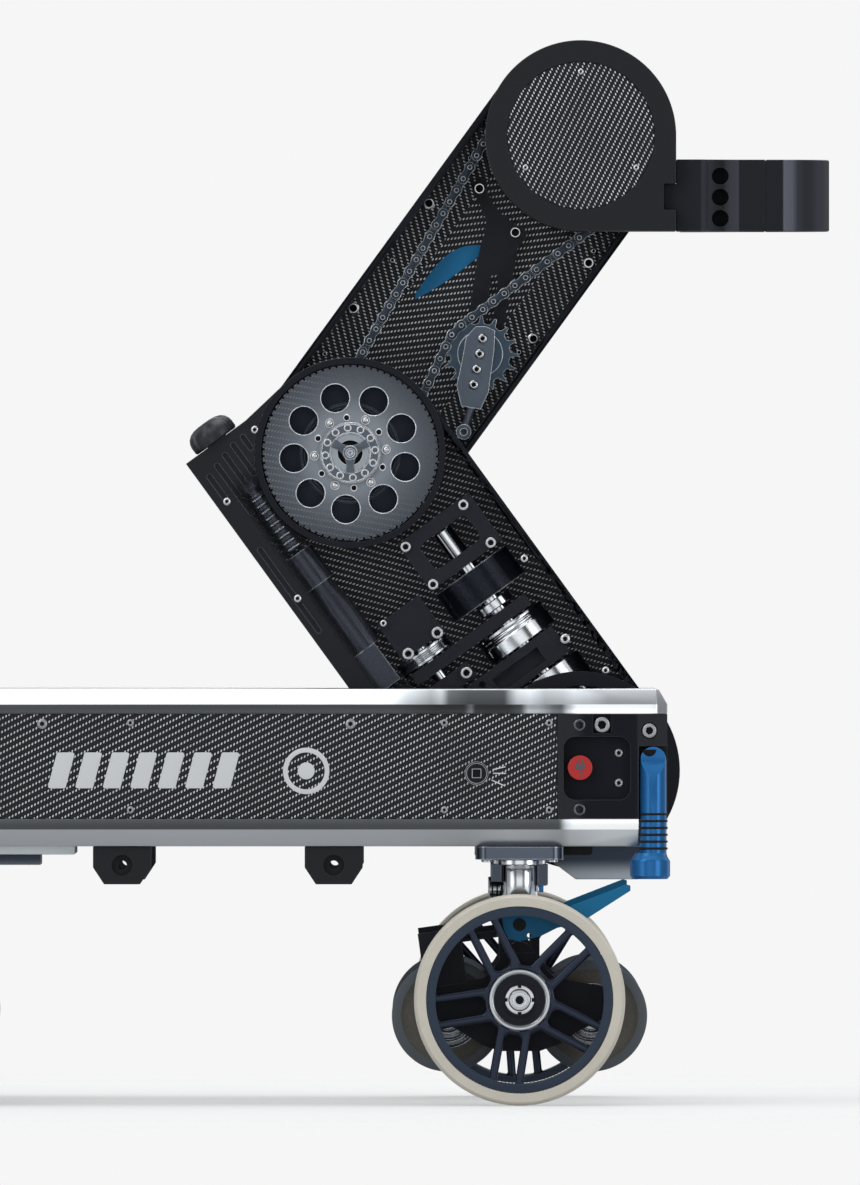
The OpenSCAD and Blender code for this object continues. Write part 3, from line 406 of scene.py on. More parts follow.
def metal(name, colour, rough, metallic, variation, grain, relief, specular, glow, edge_wear_and_highlight):
    """Metal or paint: fine grain, patchy roughness, and edges that are partly worn and partly painted highlights."""
    s = Material(name)
    v = s.object_mm()
    fine = s.noise(s.stretched(v, (1, 1, 1)), scale=grain, detail=4.0, rough=0.65)
    patches = s.noise(v, scale=0.015, rough=0.5)
    darker = tuple(c * (1 - variation) for c in colour)
    lighter = tuple(min(1, c * (1 + variation)) for c in colour)
    tone = s.mix(s.remap(fine, MIDTONES), darker, lighter)
    gloss = s.scaled(fine, gain=0.12, offset=rough - 0.06)
    gloss = s.math("MULTIPLY_ADD", patches, 0.10, s.minus(gloss, 0.05), clamp=True)
    # edges partly worn and partly painted highlight: their paler colour stands in for light catching them
    if edge_wear_and_highlight:
        strength, width, worn_and_highlit_colour = edge_wear_and_highlight
        scuffs = s.remap(s.noise(v, scale=0.12, detail=4.0), (0.3, 0.75), to=(0.45, 1.0))
        edge = s.math("MULTIPLY", s.edges(width), scuffs, clamp=True)
        worn_and_highlit_colour = worn_and_highlit_colour or tuple(min(1, c * 0.5 + 0.3) for c in colour)
        tone = s.mix(s.times(edge, strength), tone, worn_and_highlit_colour)
        gloss = s.blend(edge, gloss, max(0.2, rough - 0.15))
        # painted highlight: the edges glow as if lit
        if glow:
            s.surface(glow_colour=(0.92, 0.96, 1.0), glow=s.times(edge, glow))
    s.surface(colour=tone, rough=gloss, metallic=metallic, specular=specular,
              normal=s.bump(fine, relief))


# ---------------------------------------------------------------- carbon cloth and clear covers
def weave_axes(s, x, z, degrees):
    """Coordinates along and across a cloth turned by an angle."""
    c, n = math.cos(math.radians(degrees)), math.sin(math.radians(degrees))
    return s.plus(s.times(x, c), s.times(z, n)), s.minus(s.times(z, c), s.times(x, n))


def crowns(s, along, across, pitch, row, offset, lean, width):
    """One family of slanted oval tow crowns; offset is in pitches and rows."""

    def cell(value, start, size):
        part = s.math("FRACT", s.math("DIVIDE", s.plus(value, start), size))
        return s.times(s.minus(part, 0.5), size)

    px = cell(along, pitch * offset, pitch)
    py = cell(across, row * offset, row)
    k = pitch / 3.4  # the ovals are drawn for a 3.4 mm pitch
    u = s.math("DIVIDE", s.plus(px, s.times(py, lean)), 1.414 * 1.5 * k)
    w = s.math("DIVIDE", s.minus(px, s.times(py, lean)), 1.414 * width * k)
    return s.ease(s.plus(s.times(u, u), s.times(w, w)), (1.1, 0.5))


def bright_crowns(s, axes, pitch, row):
    return crowns(s, *axes, pitch, row, offset=0, lean=1.0, width=0.72)


def dim_crowns(s, axes, pitch, row):
    return crowns(s, *axes, pitch, row, offset=0.5, lean=-1.0, width=0.8)


def outer_strips(s, x, z):
    """1 in the two outer strips of the upper link, 0 along its middle."""
    dx, dz = s.minus(x, ELBOW[0] - MID), s.minus(z, ELBOW[1])
    across = s.absolute(s.minus(s.times(dx, SIN), s.times(dz, COS)))
    return s.math("GREATER_THAN", across, 47.0)


def carbon(name, degrees, bright, dim, pitch=3.4, row=5.8, strip_degrees=None):
    """Lacquered twill; strip_degrees turns the cloth in the upper link's outer strips."""
    s = Material(name)
    v = s.object_mm()
    x, _, z = s.axes(v)
    axes = weave_axes(s, x, z, degrees)
    high, low = bright_crowns(s, axes, pitch, row), dim_crowns(s, axes, pitch, row)
    if strip_degrees is not None:
        axes = weave_axes(s, x, z, strip_degrees)
        strip_high, strip_low = bright_crowns(s, axes, pitch, row), dim_crowns(s, axes, pitch, row)
        strips = outer_strips(s, x, z)
        high, low = s.blend(strips, high, strip_high), s.blend(strips, low, strip_low)
    patches = s.remap(s.noise(v, scale=0.02), MIDTONES, to=(0.72, 1.1))
    # painted highlights: the crowns of the tows are brightened in the base colour, the dim family faintly, the bright
    # family strongly
    tone = s.mix(s.times(low, 0.5), (0.0030, 0.0032, 0.0055), (dim, dim, dim * 1.06))
    tone = s.mix(s.times(high, patches), tone, (bright * 0.93, bright * 0.96, bright))
    relief = s.plus(high, s.times(low, 0.6))
    s.surface(colour=tone, metallic=s.times(high, 0.6), specular=0.15, coat=0.12,
              coat_rough=0.12, rough=s.remap(high, (0, 1), to=(0.42, 0.36)),
              normal=s.bump(relief, strength=0.25, distance=0.0003))


def smoked(name, tint, alpha):
    """Thin see-through cover: a little cloudy tint and a faint gloss."""
    s = Material(name)
    v = s.object_mm()
    cloud = s.remap(s.noise(v, scale=0.018, detail=2.0), (0.35, 0.65), to=(0.0, 0.03))
    speckle = s.remap(s.noise(v, scale=0.5), MIDTONES)
    s.surface(alpha=s.math("ADD", cloud, alpha, clamp=True), rough=0.25, specular=0.02,
              colour=s.mix(speckle, tint, tuple(c * 1.6 for c in tint)))


# ---------------------------------------------------------------- deck and bottom frame
# painted reflection bands of the deck and frame edges, as
# (distance from the wheelbase centre, grey level), the same both ways
EDGE_SPAN = (0, 460)
EDGE_TINT = (1, 1.045, 1.085)
DECK_BEVEL_PAINTED_REFLECTION = [
    (0, 0.97), (186, 0.97), (204, 0.70), (226, 0.40), (236, 0.55), (243, 0.13), (262, 0.075),
    (296, 0.075), (308, 0.60), (320, 0.72), (334, 0.46), (350, 0.50), (362, 0.66), (376, 0.60),
    (394, 0.40), (460, 0.44)]
DECK_EDGE_PAINTED_REFLECTION = [
    (0, 0.085), (190, 0.085), (230, 0.040), (258, 0.040), (264, 0.20), (268, 0.040),
    (300, 0.040), (312, 0.10), (318, 0.55), (328, 0.50), (342, 0.20), (350, 0.16), (356, 0.70),
    (364, 1.0), (460, 1.0)]
FRAME_BEVEL_PAINTED_REFLECTION = [
    (0, 0.46), (200, 0.44), (260, 0.40), (300, 0.50), (330, 0.45), (350, 0.38), (358, 0.55),
    (372, 0.60), (390, 0.68), (460, 0.68)]
FRAME_EDGE_PAINTED_REFLECTION = [(0, 0.095), (348, 0.105), (354, 0.85), (364, 1.0), (460, 1.0)]
OUTER_Y = (338, 341)  # where the long side edges begin
LONG_GRAIN = dict(scale=1.3, detail=4.0, rough=0.65)
# colour of the painted highlight glow on the deck and frame sides
SIDE_GLOW = (0.97, 0.99, 1.0)


def painted_edge_reflection(s, x, table):
    return s.tones(s.from_centre(x), EDGE_SPAN, table, EDGE_TINT)


def deck_alu():
    """Polished deck: the bevel and upright edge carry painted reflection bands, bright on the bevel, darker on the
    upright edge and lighter towards the corners.
    """
    bevel_end = (379.6, 379.2)  # z between the bevel and the upright edge
    s = Material("deck_alu")
    v = s.object_mm()
    x, y, z = s.axes(v)
    grain = s.noise(s.stretched(v, (0.02, 1, 1)), **LONG_GRAIN)
    patches = s.noise(v, scale=0.015, rough=0.5)
    top = s.mix(grain, (0.40, 0.415, 0.43), (0.50, 0.515, 0.53))
    bevel = painted_edge_reflection(s, x, DECK_BEVEL_PAINTED_REFLECTION)
    upright = painted_edge_reflection(s, x, DECK_EDGE_PAINTED_REFLECTION)
    side = s.times(s.ease(z, (393.4, 392.9)), s.ease(s.absolute(y), OUTER_Y))
    tone = s.mix(side, top, s.mix(s.ease(z, bevel_end), bevel, upright))
    tone = s.mix(s.remap(grain, MIDTONES, to=(0.0, 0.06)), tone, (0.30, 0.32, 0.34))
    # painted highlight: pale sharp edges
    tone = s.mix(s.times(s.edges(0.0008), 0.35), tone, (0.80, 0.82, 0.84))
    # painted highlights: the upright edge's ends and the bevel's middle glow
    ends = s.ease(s.from_centre(x), (356, 366), to=(0, 0.35))
    end_glow = s.times(side, s.times(s.ease(z, bevel_end), ends))
    middle = s.ease(s.from_centre(x), (206, 186), to=(0, 0.25))
    bevel_glow = s.times(side, s.times(s.ease(z, (379.4, 380.0)), middle))
    s.surface(colour=tone, metallic=1.0, rough=s.scaled(patches, gain=0.10, offset=0.30),
              normal=s.bump(grain, strength=0.04), glow_colour=SIDE_GLOW,
              glow=s.plus(end_glow, bevel_glow))


def frame_alu():
    """Bottom frame: satin aluminium edges with painted reflection bands, and painted shade on the guard plates
    underneath, dark slate under the deck and paler towards the bottom.
    """
    edge_start = (260.8, 261.2)  # z between the bevel and the upright edge
    s = Material("frame_alu")
    v = s.object_mm()
    x, y, z = s.axes(v)
    grain = s.noise(s.stretched(v, (0.02, 1, 1)), **LONG_GRAIN)
    # painted shade: the guard plates under the deck are darkened
    shaded_underside = s.times(s.remap(z, (244.9, 244.6)), s.remap(s.absolute(y), (112, 104)))
    satin = s.mix(grain, (0.52, 0.555, 0.565), (0.58, 0.62, 0.63))
    bevel = painted_edge_reflection(s, x, FRAME_BEVEL_PAINTED_REFLECTION)
    upright = painted_edge_reflection(s, x, FRAME_EDGE_PAINTED_REFLECTION)
    side = s.times(s.ease(z, (245.3, 245.8)), s.ease(s.absolute(y), OUTER_Y))
    tone = s.mix(side, satin, s.mix(s.ease(z, edge_start), bevel, upright))
    underside_shade = s.mix(s.ease(z, (214, 232)), (0.42, 0.46, 0.50), (0.055, 0.065, 0.09))
    # pale edges, partly wear and partly painted highlight
    edge_wear_and_highlight = s.times(s.edges(0.0009), 0.4)
    tone = s.mix(edge_wear_and_highlight, s.mix(shaded_underside, tone, underside_shade), (0.82, 0.86, 0.87))
    # painted highlight: the upright edge glows towards its ends
    ends = s.ease(s.from_centre(x), (352, 362), to=(0, 0.22))
    s.surface(colour=tone, metallic=1.0, normal=s.bump(grain, strength=0.05),
              rough=s.blend(shaded_underside, s.scaled(grain, gain=0.08, offset=0.30), 0.35),
              glow_colour=SIDE_GLOW,
              glow=s.times(side, s.times(s.ease(z, edge_start), ends)))


# ---------------------------------------------------------------- other one-off materials
def gear_slate():
    """Hard-anodised slate disc, paler towards its hub, with a fine speckle, painted highlight dots and painted
    highlights on its hole rims.
    """
    stops = [(0.0, (0.30, 0.33, 0.36)), (0.22, (0.20, 0.22, 0.25)), (0.5, (0.085, 0.097, 0.118)),
             (0.8, (0.038, 0.046, 0.062)), (1.0, (0.015, 0.019, 0.028))]
    s = Material("gear_slate")
    v = s.object_mm()
    x, _, z = s.axes(v)
    dx, dz = s.minus(x, ELBOW[0] - MID), s.minus(z, ELBOW[1])
    r = s.radius(dx, dz)
    speckle = s.noise(v, scale=2.2, detail=5.0, rough=0.8)
    tone = s.ramp(s.remap(r, (20, 86)), stops)
    pale = s.mix(0.35, tone, (0.5, 0.53, 0.56))
    tone = s.mix(s.remap(speckle, MIDTONES, to=(0, 0.5)), tone, pale)
    # painted highlights: bright woven dots, towards the left and the bottom of the disc
    highlight_dots = bright_crowns(s, weave_axes(s, x, z, degrees=-10), pitch=2.9, row=5.8)
    shown = s.times(s.ease(dx, (0, -55)), s.remap(r, (45, 80), to=(0.2, 0.55)))
    shown = s.math("MAXIMUM", shown, s.times(s.ease(dz, (-25, -75)), 0.35))
    tone = s.mix(s.times(highlight_dots, shown), tone, (0.24, 0.26, 0.29))
    # painted highlight on the rims of the gear's holes
    edge = s.times(s.edges(0.0007), s.remap(r, (74, 80), to=(1.0, 0.15)))
    s.surface(colour=s.mix(edge, tone, (0.86, 0.89, 0.92)), metallic=0.2, rough=0.5,
              specular=0.2, normal=s.bump(speckle, strength=0.08))


def housing_cover():
    """Solid along the outside, see-through over the worm and its motor."""
    s = Material("housing_cover")
    v = s.object_mm()
    x, _, z = s.axes(v)
    dx, dz = s.minus(x, BASE[0] - MID), s.minus(z, BASE[1])
    along = s.plus(s.times(dx, -COS), s.times(dz, SIN))
    across = s.plus(s.times(dx, -SIN), s.times(dz, -COS))
    clear = s.times(s.ease(across, (116, 106)), s.ease(along, (425, 395)))
    grain = s.noise(v, scale=1.6, detail=4.0)
    tone = s.mix(grain, (0.011, 0.0115, 0.015), (0.016, 0.0168, 0.021))
    # painted highlight: pale edges
    tone = s.mix(s.times(s.edges(0.0009), 0.85), tone, (0.15, 0.155, 0.175))
    s.surface(colour=tone, alpha=s.scaled(clear, gain=-0.88, offset=1.0), rough=0.42,
              specular=0.14, normal=s.bump(grain, strength=0.08))


def tyre_cream():
    s = Material("tyre_cream")
    v = s.object_mm()
    grain = s.noise(v, scale=1.6, detail=5.0, rough=0.7)
    patches = s.remap(s.noise(v, scale=0.03), (0.35, 0.7), to=(0, 0.35))
    tone = s.mix(s.remap(grain, MIDTONES), (0.50, 0.465, 0.395), (0.60, 0.565, 0.49))
    s.surface(colour=s.mix(patches, tone, (0.42, 0.39, 0.33)), rough=0.66, sheen=0.1,
              normal=s.bump(grain, strength=0.2, distance=0.0003))


def speckled(name, colour, contrast, rough):
    s = Material(name)
    grain = s.noise(s.object_mm(), scale=1.1, detail=6.0, rough=0.8)
    darker = tuple(c * (1 - contrast) for c in colour)
    lighter = tuple(c * (1 + contrast) for c in colour)
    s.surface(colour=s.mix(s.remap(grain, (0.35, 0.65)), darker, lighter), rough=rough,
              normal=s.bump(grain, strength=0.15, distance=0.0003))


def corner_cast():
    """Cast corner block: satin face, painted shade in the pocket, thin pale edges painted as highlights."""
    s = Material("corner_cast")
    v = s.object_mm()
    x, y, _ = s.axes(v)
    grain = s.noise(v, scale=2.2, detail=4.0)
    recessed = s.ease(s.absolute(y), (348.5, 347.0))
    pocket = s.times(recessed, s.ease(s.from_centre(x), (423, 420)))
    face = s.mix(s.remap(grain, MIDTONES), (0.0165, 0.017, 0.0205), (0.0215, 0.0222, 0.026))
    # painted shade: the pocket is darker
    pocket_shade = s.mix(s.remap(grain, MIDTONES), (0.0042, 0.0045, 0.0085), (0.0062, 0.0066, 0.0115))
    # pale edges, partly wear and partly painted highlight
    edge_wear_and_highlight = s.times(s.edges(0.0007), 0.55)
    s.surface(colour=s.mix(edge_wear_and_highlight, s.mix(pocket, face, pocket_shade), (0.11, 0.115, 0.13)), rough=0.5,
              specular=0.12, normal=s.bump(grain, strength=0.12))


# painted reflection: (x from the head pivot, grey level) of the nose's upright bands
NOSE_SPAN = (91, 238)
NOSE_TINT = (1, 1.03, 1.28)
NOSE_PAINTED_REFLECTION = [
    (91, 0.0150), (114, 0.0150), (116.5, 0.044), (119, 0.040), (127, 0.020), (131, 0.014),
    (136, 0.009), (139, 0.030), (144, 0.042), (150.5, 0.050), (151.5, 0.0150), (192.8, 0.0150),
    (194, 0.115), (202, 0.100), (207, 0.036), (214, 0.024), (220, 0.030), (227, 0.048),
    (233, 0.032), (238, 0.030)]


def nose_black():
    """Satin black nose, with soft upright bands painted in as the reflections its rounded flanks pick up."""
    s = Material("nose_black")
    v = s.object_mm()
    x = s.axes(v)[0]
    grain = s.noise(v, scale=1.4, detail=4.0)
    tone = s.tones(s.minus(x, HEAD[0] - MID), NOSE_SPAN, NOSE_PAINTED_REFLECTION, NOSE_TINT)
    tone = s.mix(s.remap(grain, MIDTONES, to=(0, 0.2)), tone, (0.012, 0.0125, 0.017))
    # painted highlight: pale edges
    tone = s.mix(s.times(s.edges(0.0008), 0.4), tone, (0.10, 0.105, 0.125))
    s.surface(colour=tone, rough=0.45, specular=0.08, normal=s.bump(grain, strength=0.05))


def tensioner_two_tone():
    """Black lever behind the chain, pale alloy carrier block in front of it."""
    s = Material("tensioner_two_tone")
    v = s.object_mm()
    front = s.ease(s.axes(v)[1], (40, 38))
    grain = s.noise(v, scale=1.2, detail=4.0)
    dark = s.mix(grain, (0.011, 0.0115, 0.016), (0.015, 0.0158, 0.021))
    pale = s.mix(grain, (0.085, 0.105, 0.135), (0.125, 0.15, 0.185))
    # painted highlights: the edges lighten, and on the pale carrier block they glow
    edge = s.edges(0.0009)
    dark = s.mix(s.times(edge, 0.6), dark, (0.05, 0.053, 0.065))
    pale = s.mix(edge, pale, (0.86, 0.90, 0.93))
    s.surface(colour=s.mix(front, dark, pale), metallic=s.times(front, 0.45), rough=0.4,
              specular=0.15, glow_colour=(0.92, 0.96, 1.0),
              glow=s.times(s.times(front, edge), 0.3), normal=s.bump(grain, strength=0.05))


def make_materials():
    for row in METALS:
        metal(*row)
    for make in (tyre_cream, nose_black, corner_cast, tensioner_two_tone, frame_alu, deck_alu,
                 gear_slate, housing_cover):
        make()
    speckled("rail_flange", (0.055, 0.067, 0.080), contrast=0.12, rough=0.5)
    speckled("rail_band", (0.085, 0.080, 0.066), contrast=0.5, rough=0.7)
    carbon("carbon_side", degrees=27, bright=0.66, dim=0.03)
    carbon("carbon_lower", degrees=-15, bright=0.62, dim=0.02)
    carbon("carbon_upper", degrees=7, bright=0.66, dim=0.03, strip_degrees=-76)
    carbon("carbon_head", degrees=63, bright=0.74, dim=0.02, pitch=3.1, row=5.0)
    smoked("smoked_lower", (0.006, 0.007, 0.012), alpha=0.03)
    smoked("smoked_upper", (0.006, 0.007, 0.012), alpha=0.02)


# ---------------------------------------------------------------- CAD pieces
# piece: (material, bevel width; 0 leaves the edges sharp)
LOOKS = {
    "top_deck": ("deck_alu", 1.2), "chassis_frame": ("frame_alu", 1.0),
    "side_panels": ("carbon_side", 0.4), "corner_blocks": ("corner_cast", 1.0),
    "tow_lugs": ("black_powder", 1.2), "kingpin_flanges": ("flange_steel", 1.4),
    "chassis_screws": ("screw_steel", 0.35), "base_shaft": ("machined_steel", 0.6),
    "selector_knob": ("black_anodised", 0.7), "power_button": ("red_cap", 1.2),
    "handle_near": ("blue_anodised", 0.6), "handle_far": ("blue_anodised", 0.6),
    "lower_arm_frame": ("black_anodised", 0.8), "lower_arm_back": ("carbon_lower", 0.3),
    "lower_arm_cover": ("smoked_lower", 0.0), "motor_housing_cover": ("housing_cover", 0.6),
    "pivot_rings": ("black_anodised", 0.9), "elbow_motor": ("worm_black", 0.8),
    "elbow_worm": ("worm_black", 0.8), "drive_bracket": ("drive_plate_grey", 0.8),
    "lift_motor": ("motor_black", 1.2), "lift_spindle": ("polished_steel", 0.7),
    "motor_pulley": ("polished_steel", 0.5), "elbow_sprocket": ("machined_steel", 0.6),
    "upper_arm_frame": ("black_anodised", 0.8), "upper_arm_back": ("carbon_upper", 0.3),
    "upper_arm_cover": ("smoked_upper", 0.0), "tensioner_arm": ("tensioner_two_tone", 0.8),
    "tensioner_sprocket": ("sprocket_blue_grey", 0.5), "elbow_gear": ("gear_slate", 0.5),
    "head_housing": ("black_powder", 1.0), "head_disc": ("carbon_head", 0.3),
    "head_bracket": ("nose_black", 1.2), "clamp_cap": ("nose_black", 1.6),
    "head_sprocket": ("sprocket_blue_grey", 0.6),
}
# corner tag: (x sign, y sign)
CORNERS = {"nr": (1, -1), "nl": (-1, -1), "fr": (1, 1), "fl": (-1, 1)}
for tag in CORNERS:
    LOOKS["steer_fork_" + tag] = ("black_anodised", 0.8)
    LOOKS["wheel_tyre_" + tag] = ("tyre_cream", 0.6)
    LOOKS["brake_lever_" + tag] = ("blue_lever", 0.9)


def split_edges(obj, degrees):
    obj.modifiers.new("split", "EDGE_SPLIT").split_angle = math.radians(degrees)


def dress(piece, material, width):
    """Gives a CAD piece its material: weld, dissolve flats, bevel and smooth."""
    obj = NODES[piece]
    mesh = obj.data
    mesh.materials.clear()
    mesh.materials.append(MAT[material])
    with bpy.context.temp_override(object=obj, active_object=obj, selected_objects=[obj]):
        # guards pieces for which the operator refuses to run
        try:
            bpy.ops.mesh.customdata_custom_splitnormals_clear()
        except RuntimeError:
            pass
    mesh.polygons.foreach_set("use_smooth", [True] * len(mesh.polygons))
    obj.modifiers.new("weld", "WELD").merge_threshold = 0.00002
    if width:
        flats = obj.modifiers.new("flats", "DECIMATE")
        flats.decimate_type = "DISSOLVE"
        flats.angle_limit = math.radians(0.6)
        bevel = obj.modifiers.new("bevel", "BEVEL")
        bevel.width = width / 1000
        bevel.segments = 2
        bevel.limit_method = "ANGLE"
        bevel.angle_limit = math.radians(32)
        bevel.use_clamp_overlap = True
        bevel.harden_normals = False
        bevel.miter_outer = "MITER_ARC"
    split_edges(obj, 38)
    if width:
        normals = obj.modifiers.new("flat_faces", "WEIGHTED_NORMAL")
        normals.mode = "FACE_AREA"
        normals.weight = 50


# ---------------------------------------------------------------- mesh helpers
def add_mesh(name, bm, mats, body, slot=None, smooth=38):
    """Turns a bmesh into an object; mats are material names, smooth an angle in degrees."""
    bmesh.ops.recalc_face_normals(bm, faces=bm.faces)
    mesh = bpy.data.meshes.new(name)
    bm.to_mesh(mesh)
    bm.free()
    obj = bpy.data.objects.new(name, mesh)
    scene.collection.objects.link(obj)
    for mat in mats:
        mesh.materials.append(MAT[mat])
    mesh.polygons.foreach_set("use_smooth", [True] * len(mesh.polygons))
    split_edges(obj, smooth)
    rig.ride(obj, body)
    if slot:
        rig.slot(obj, slot)
    return obj


# cross-sections of a lathed ring, as a factor on its radius
def plain(_):
    return 1.0


def hexagon(angle):
    return 1 / math.cos(angle % (math.pi / 3) - math.pi / 6)


def six_lobes(angle):
    return 1 - 0.13 * math.cos(6 * angle)


def scallops(angle):
    return 1 - 0.09 * max(0.0, math.cos(6 * angle))


def lathe(bm, rings, sides, axis, mat=0, closed=False, capped=True):
    """Skins rings (radius, height[, section[, material index]]) about the axis matrix's +Z.

    Radius 0 gives a point; closed joins the last ring to the first.
    """
    angles = [2 * math.pi * t / sides for t in range(sides)]
    loops, indices = [], []
    for ring in rings:
        radius, height, section, index = ring + (plain, mat)[len(ring) - 2:]
        points = [polar(radius * section(a), a) for a in angles] if radius else [(0, 0)]
        loops.append([bm.verts.new(axis @ Vector((x, y, height))) for x, y in points])
        indices.append(index)
    for k in range(0 if closed else 1, len(loops)):
        j = (k + 1) % len(loops) if closed else k
        a, b = loops[j - 1], loops[j]
        for t in range(sides):
            u = (t + 1) % sides
            if len(a) == 1:
                corners = (a[0], b[t], b[u])
            elif len(b) == 1:
                corners = (a[t], b[0], a[u])
            else:
                corners = (a[t], b[t], b[u], a[u])
            bm.faces.new(corners).material_index = indices[j]
    if capped and not closed:
        for loop, index in ((loops[0][::-1], indices[0]), (loops[-1], indices[-1])):
            if len(loop) > 2:
                bm.faces.new(loop).material_index = index


def aim(pos, direction, roll=0.0):
    """Matrix from local millimetres, with +Z along the direction, to a place in metres."""
    turn = Vector(direction).normalized().to_track_quat("Z", "Y").to_matrix().to_4x4()
    spin = Matrix.Rotation(roll, 4, "Z")
    return Matrix.Translation(pos) @ turn @ spin @ Matrix.Scale(0.001, 4)


# the second material paints the floors of the sockets in shade
SCREW_MATS = ("screw_steel", "socket_dark")
SCREW_ROLL = 0.2  # radians


def cap_screw(bm, pos, facing, r, h):
    """Cylinder head with a hexagon socket."""
    floor_z = h - h * 0.7
    rings = [(r * 0.96, -0.3), (r, 0.2), (r, h - 0.5), (r * 0.93, h - 0.1), (r * 0.86, h),
             (r * 0.62, h), (r * 0.56, h - 0.15, hexagon), (r * 0.52, h - 0.3, hexagon),
             (r * 0.5, h - h * 0.62, hexagon, 1), (r * 0.2, floor_z, plain, 1),
             (0, floor_z, plain, 1)]
    lathe(bm, rings, 24, aim(pos, facing, SCREW_ROLL))


def button_screw(bm, pos, facing, r, h):
    """Domed head with a six-lobed socket."""
    rings = [(r, -0.2), (r, 0.25), (r * 0.97, h * 0.45), (r * 0.84, h * 0.8), (r * 0.64, h),
             (r * 0.5, h), (r * 0.44, h - 0.1, six_lobes), (r * 0.4, h * 0.35, six_lobes, 1),
             (0, h * 0.3, plain, 1)]
    lathe(bm, rings, 24, aim(pos, facing, SCREW_ROLL))


def skin(bm, rings):
    """Joins equal loops of vertices with quads and caps both ends."""
    n = len(rings[0])
    for a, b in zip(rings, rings[1:]):
        for k in range(n):
            bm.faces.new((a[k], b[k], b[(k + 1) % n], a[(k + 1) % n]))
    bm.faces.new(rings[0][::-1])
    bm.faces.new(rings[-1])


def prism(bm, outline, y0, y1, put, chamfer=0.5):
    """Chamfered prism of a convex (x, z) outline."""
    centre = Vector((sum(q[0] for q in outline), sum(q[1] for q in outline))) / len(outline)
    inset = []
    for point in outline:
        arm = Vector(point) - centre
        inset.append(tuple(centre + arm * (1 - chamfer / arm.length)))
    layers = ((y0, inset), (y0 + chamfer, outline), (y1 - chamfer, outline), (y1, inset))
    skin(bm, [[bm.verts.new(put(x, y, z)) for x, z in loop] for y, loop in layers])


def circle(cx, cz, r, n=48):
    return shift([polar(r, 2 * math.pi * i / n) for i in range(n)], (cx, cz))


def fillet(points, radii, steps=6):
    """Rounds the corners of a closed polygon; radii is one radius or one per point."""
    out = []
    for i, point in enumerate(points):
        radius = radii[i] if isinstance(radii, (list, tuple)) else radii
        p = Vector(point)
        a, b = Vector(points[i - 1]) - p, Vector(points[(i + 1) % len(points)]) - p
        shortest = min(a.length, b.length)
        a.normalize()
        b.normalize()
        angle = a.angle(b)
        if radius <= 0 or angle > math.pi - 0.02:
            out.append(tuple(p))
            continue
        setback = min(radius / math.tan(angle / 2), shortest * 0.49)
        r = setback * math.tan(angle / 2)
        centre = p + (a + b).normalized() * (r / math.sin(angle / 2))
        first, last = p + a * setback - centre, p + b * setback - centre
        sweep = first.angle(last) * (1 if first.cross(last) > 0 else -1)
        start = math.atan2(first.y, first.x)
        arc = [polar(r, start + sweep * k / steps) for k in range(steps + 1)]
        out += shift(arc, centre)
    return out


def plate(name, loops, y0, y1, mat, body, bevel, put=at, slot=None, smooth=38, steps=2):
    """Bevelled plate from closed (x, z) outlines, the inner ones holes, between two y."""
    curve = bpy.data.curves.new(name + "_c", "CURVE")
    curve.dimensions = "2D"
    curve.fill_mode = "BOTH"
    for loop in loops:
        spline = curve.splines.new("POLY")
        spline.points.add(len(loop) - 1)
        for point, (x, z) in zip(spline.points, loop):
            point.co = (x, z, 0, 1)
        spline.use_cyclic_u = True
    half = abs(y1 - y0) / 2
    bevel = min(bevel, half * 0.95)
    curve.extrude = half - bevel
    curve.bevel_depth = bevel
    curve.bevel_resolution = steps
    curve.offset = -bevel
    obj = bpy.data.objects.new(name + "_c", curve)
    scene.collection.objects.link(obj)
    depsgraph = bpy.context.evaluated_depsgraph_get()
    mesh = bpy.data.meshes.new_from_object(obj.evaluated_get(depsgraph))
    bpy.data.objects.remove(obj)
    bpy.data.curves.remove(curve)
    bm = bmesh.new()
    bm.from_mesh(mesh)
    bpy.data.meshes.remove(mesh)
    bmesh.ops.remove_doubles(bm, verts=bm.verts, dist=1e-4)
    middle = (y0 + y1) / 2
    for vert in bm.verts:
        vert.co = put(vert.co.x, middle + vert.co.z, vert.co.y)
    return add_mesh(name, bm, [mat], body, slot, smooth)


def spread(put, radius, y, count, first):
    """Places evenly round a circle, the first at an angle in degrees."""
    for k in range(count):
        x, z = polar(radius, math.radians(first + 360 / count * k))
        yield put(x, y, z)


# ---------------------------------------------------------------- studio wheels
WHEEL_OUT = 59.0  # wheel centre outboard of the steering axis
WHEEL_Z = 100.0
# lathe profiles as (radius, distance outward from the wheel's middle plane)
BARREL = [(87.6, -18.6), (87.6, 14.6), (79.8, 14.6), (81.2, 11.0), (81.6, -8.0), (80.4, -16.6),
          (81.6, -18.6)]
BEZEL = [(29.0, -17.0), (30.4, -15), (30.4, 9.0), (29.6, 13.4), (28.6, 14.6), (26.6, 15.0),
         (25.2, 14.4), (24.8, 13.0), (24.8, 11.0), (11, 11.0), (11, -17.0)]
BEARING_FACE = [(24.6, 11.2), (24.6, 13.2), (24.0, 13.8), (19.0, 13.8), (18.4, 13.3),
                (17.6, 13.3), (16.9, 13.8), (14.6, 13.8), (14.2, 12.6), (11, 12.6), (11, 11.2)]
AXLE_END = [(9.6, 20.02), (9.6, 20.3), (8.8, 20.6), (8.0, 20.6), (7.6, 20.2), (7.1, 20.2),
            (6.7, 20.7), (5.2, 20.7), (4.8, 20.2), (4.1, 20.25), (4.0, 20.05, plain, 1),
            (0, 20.04, plain, 1)]


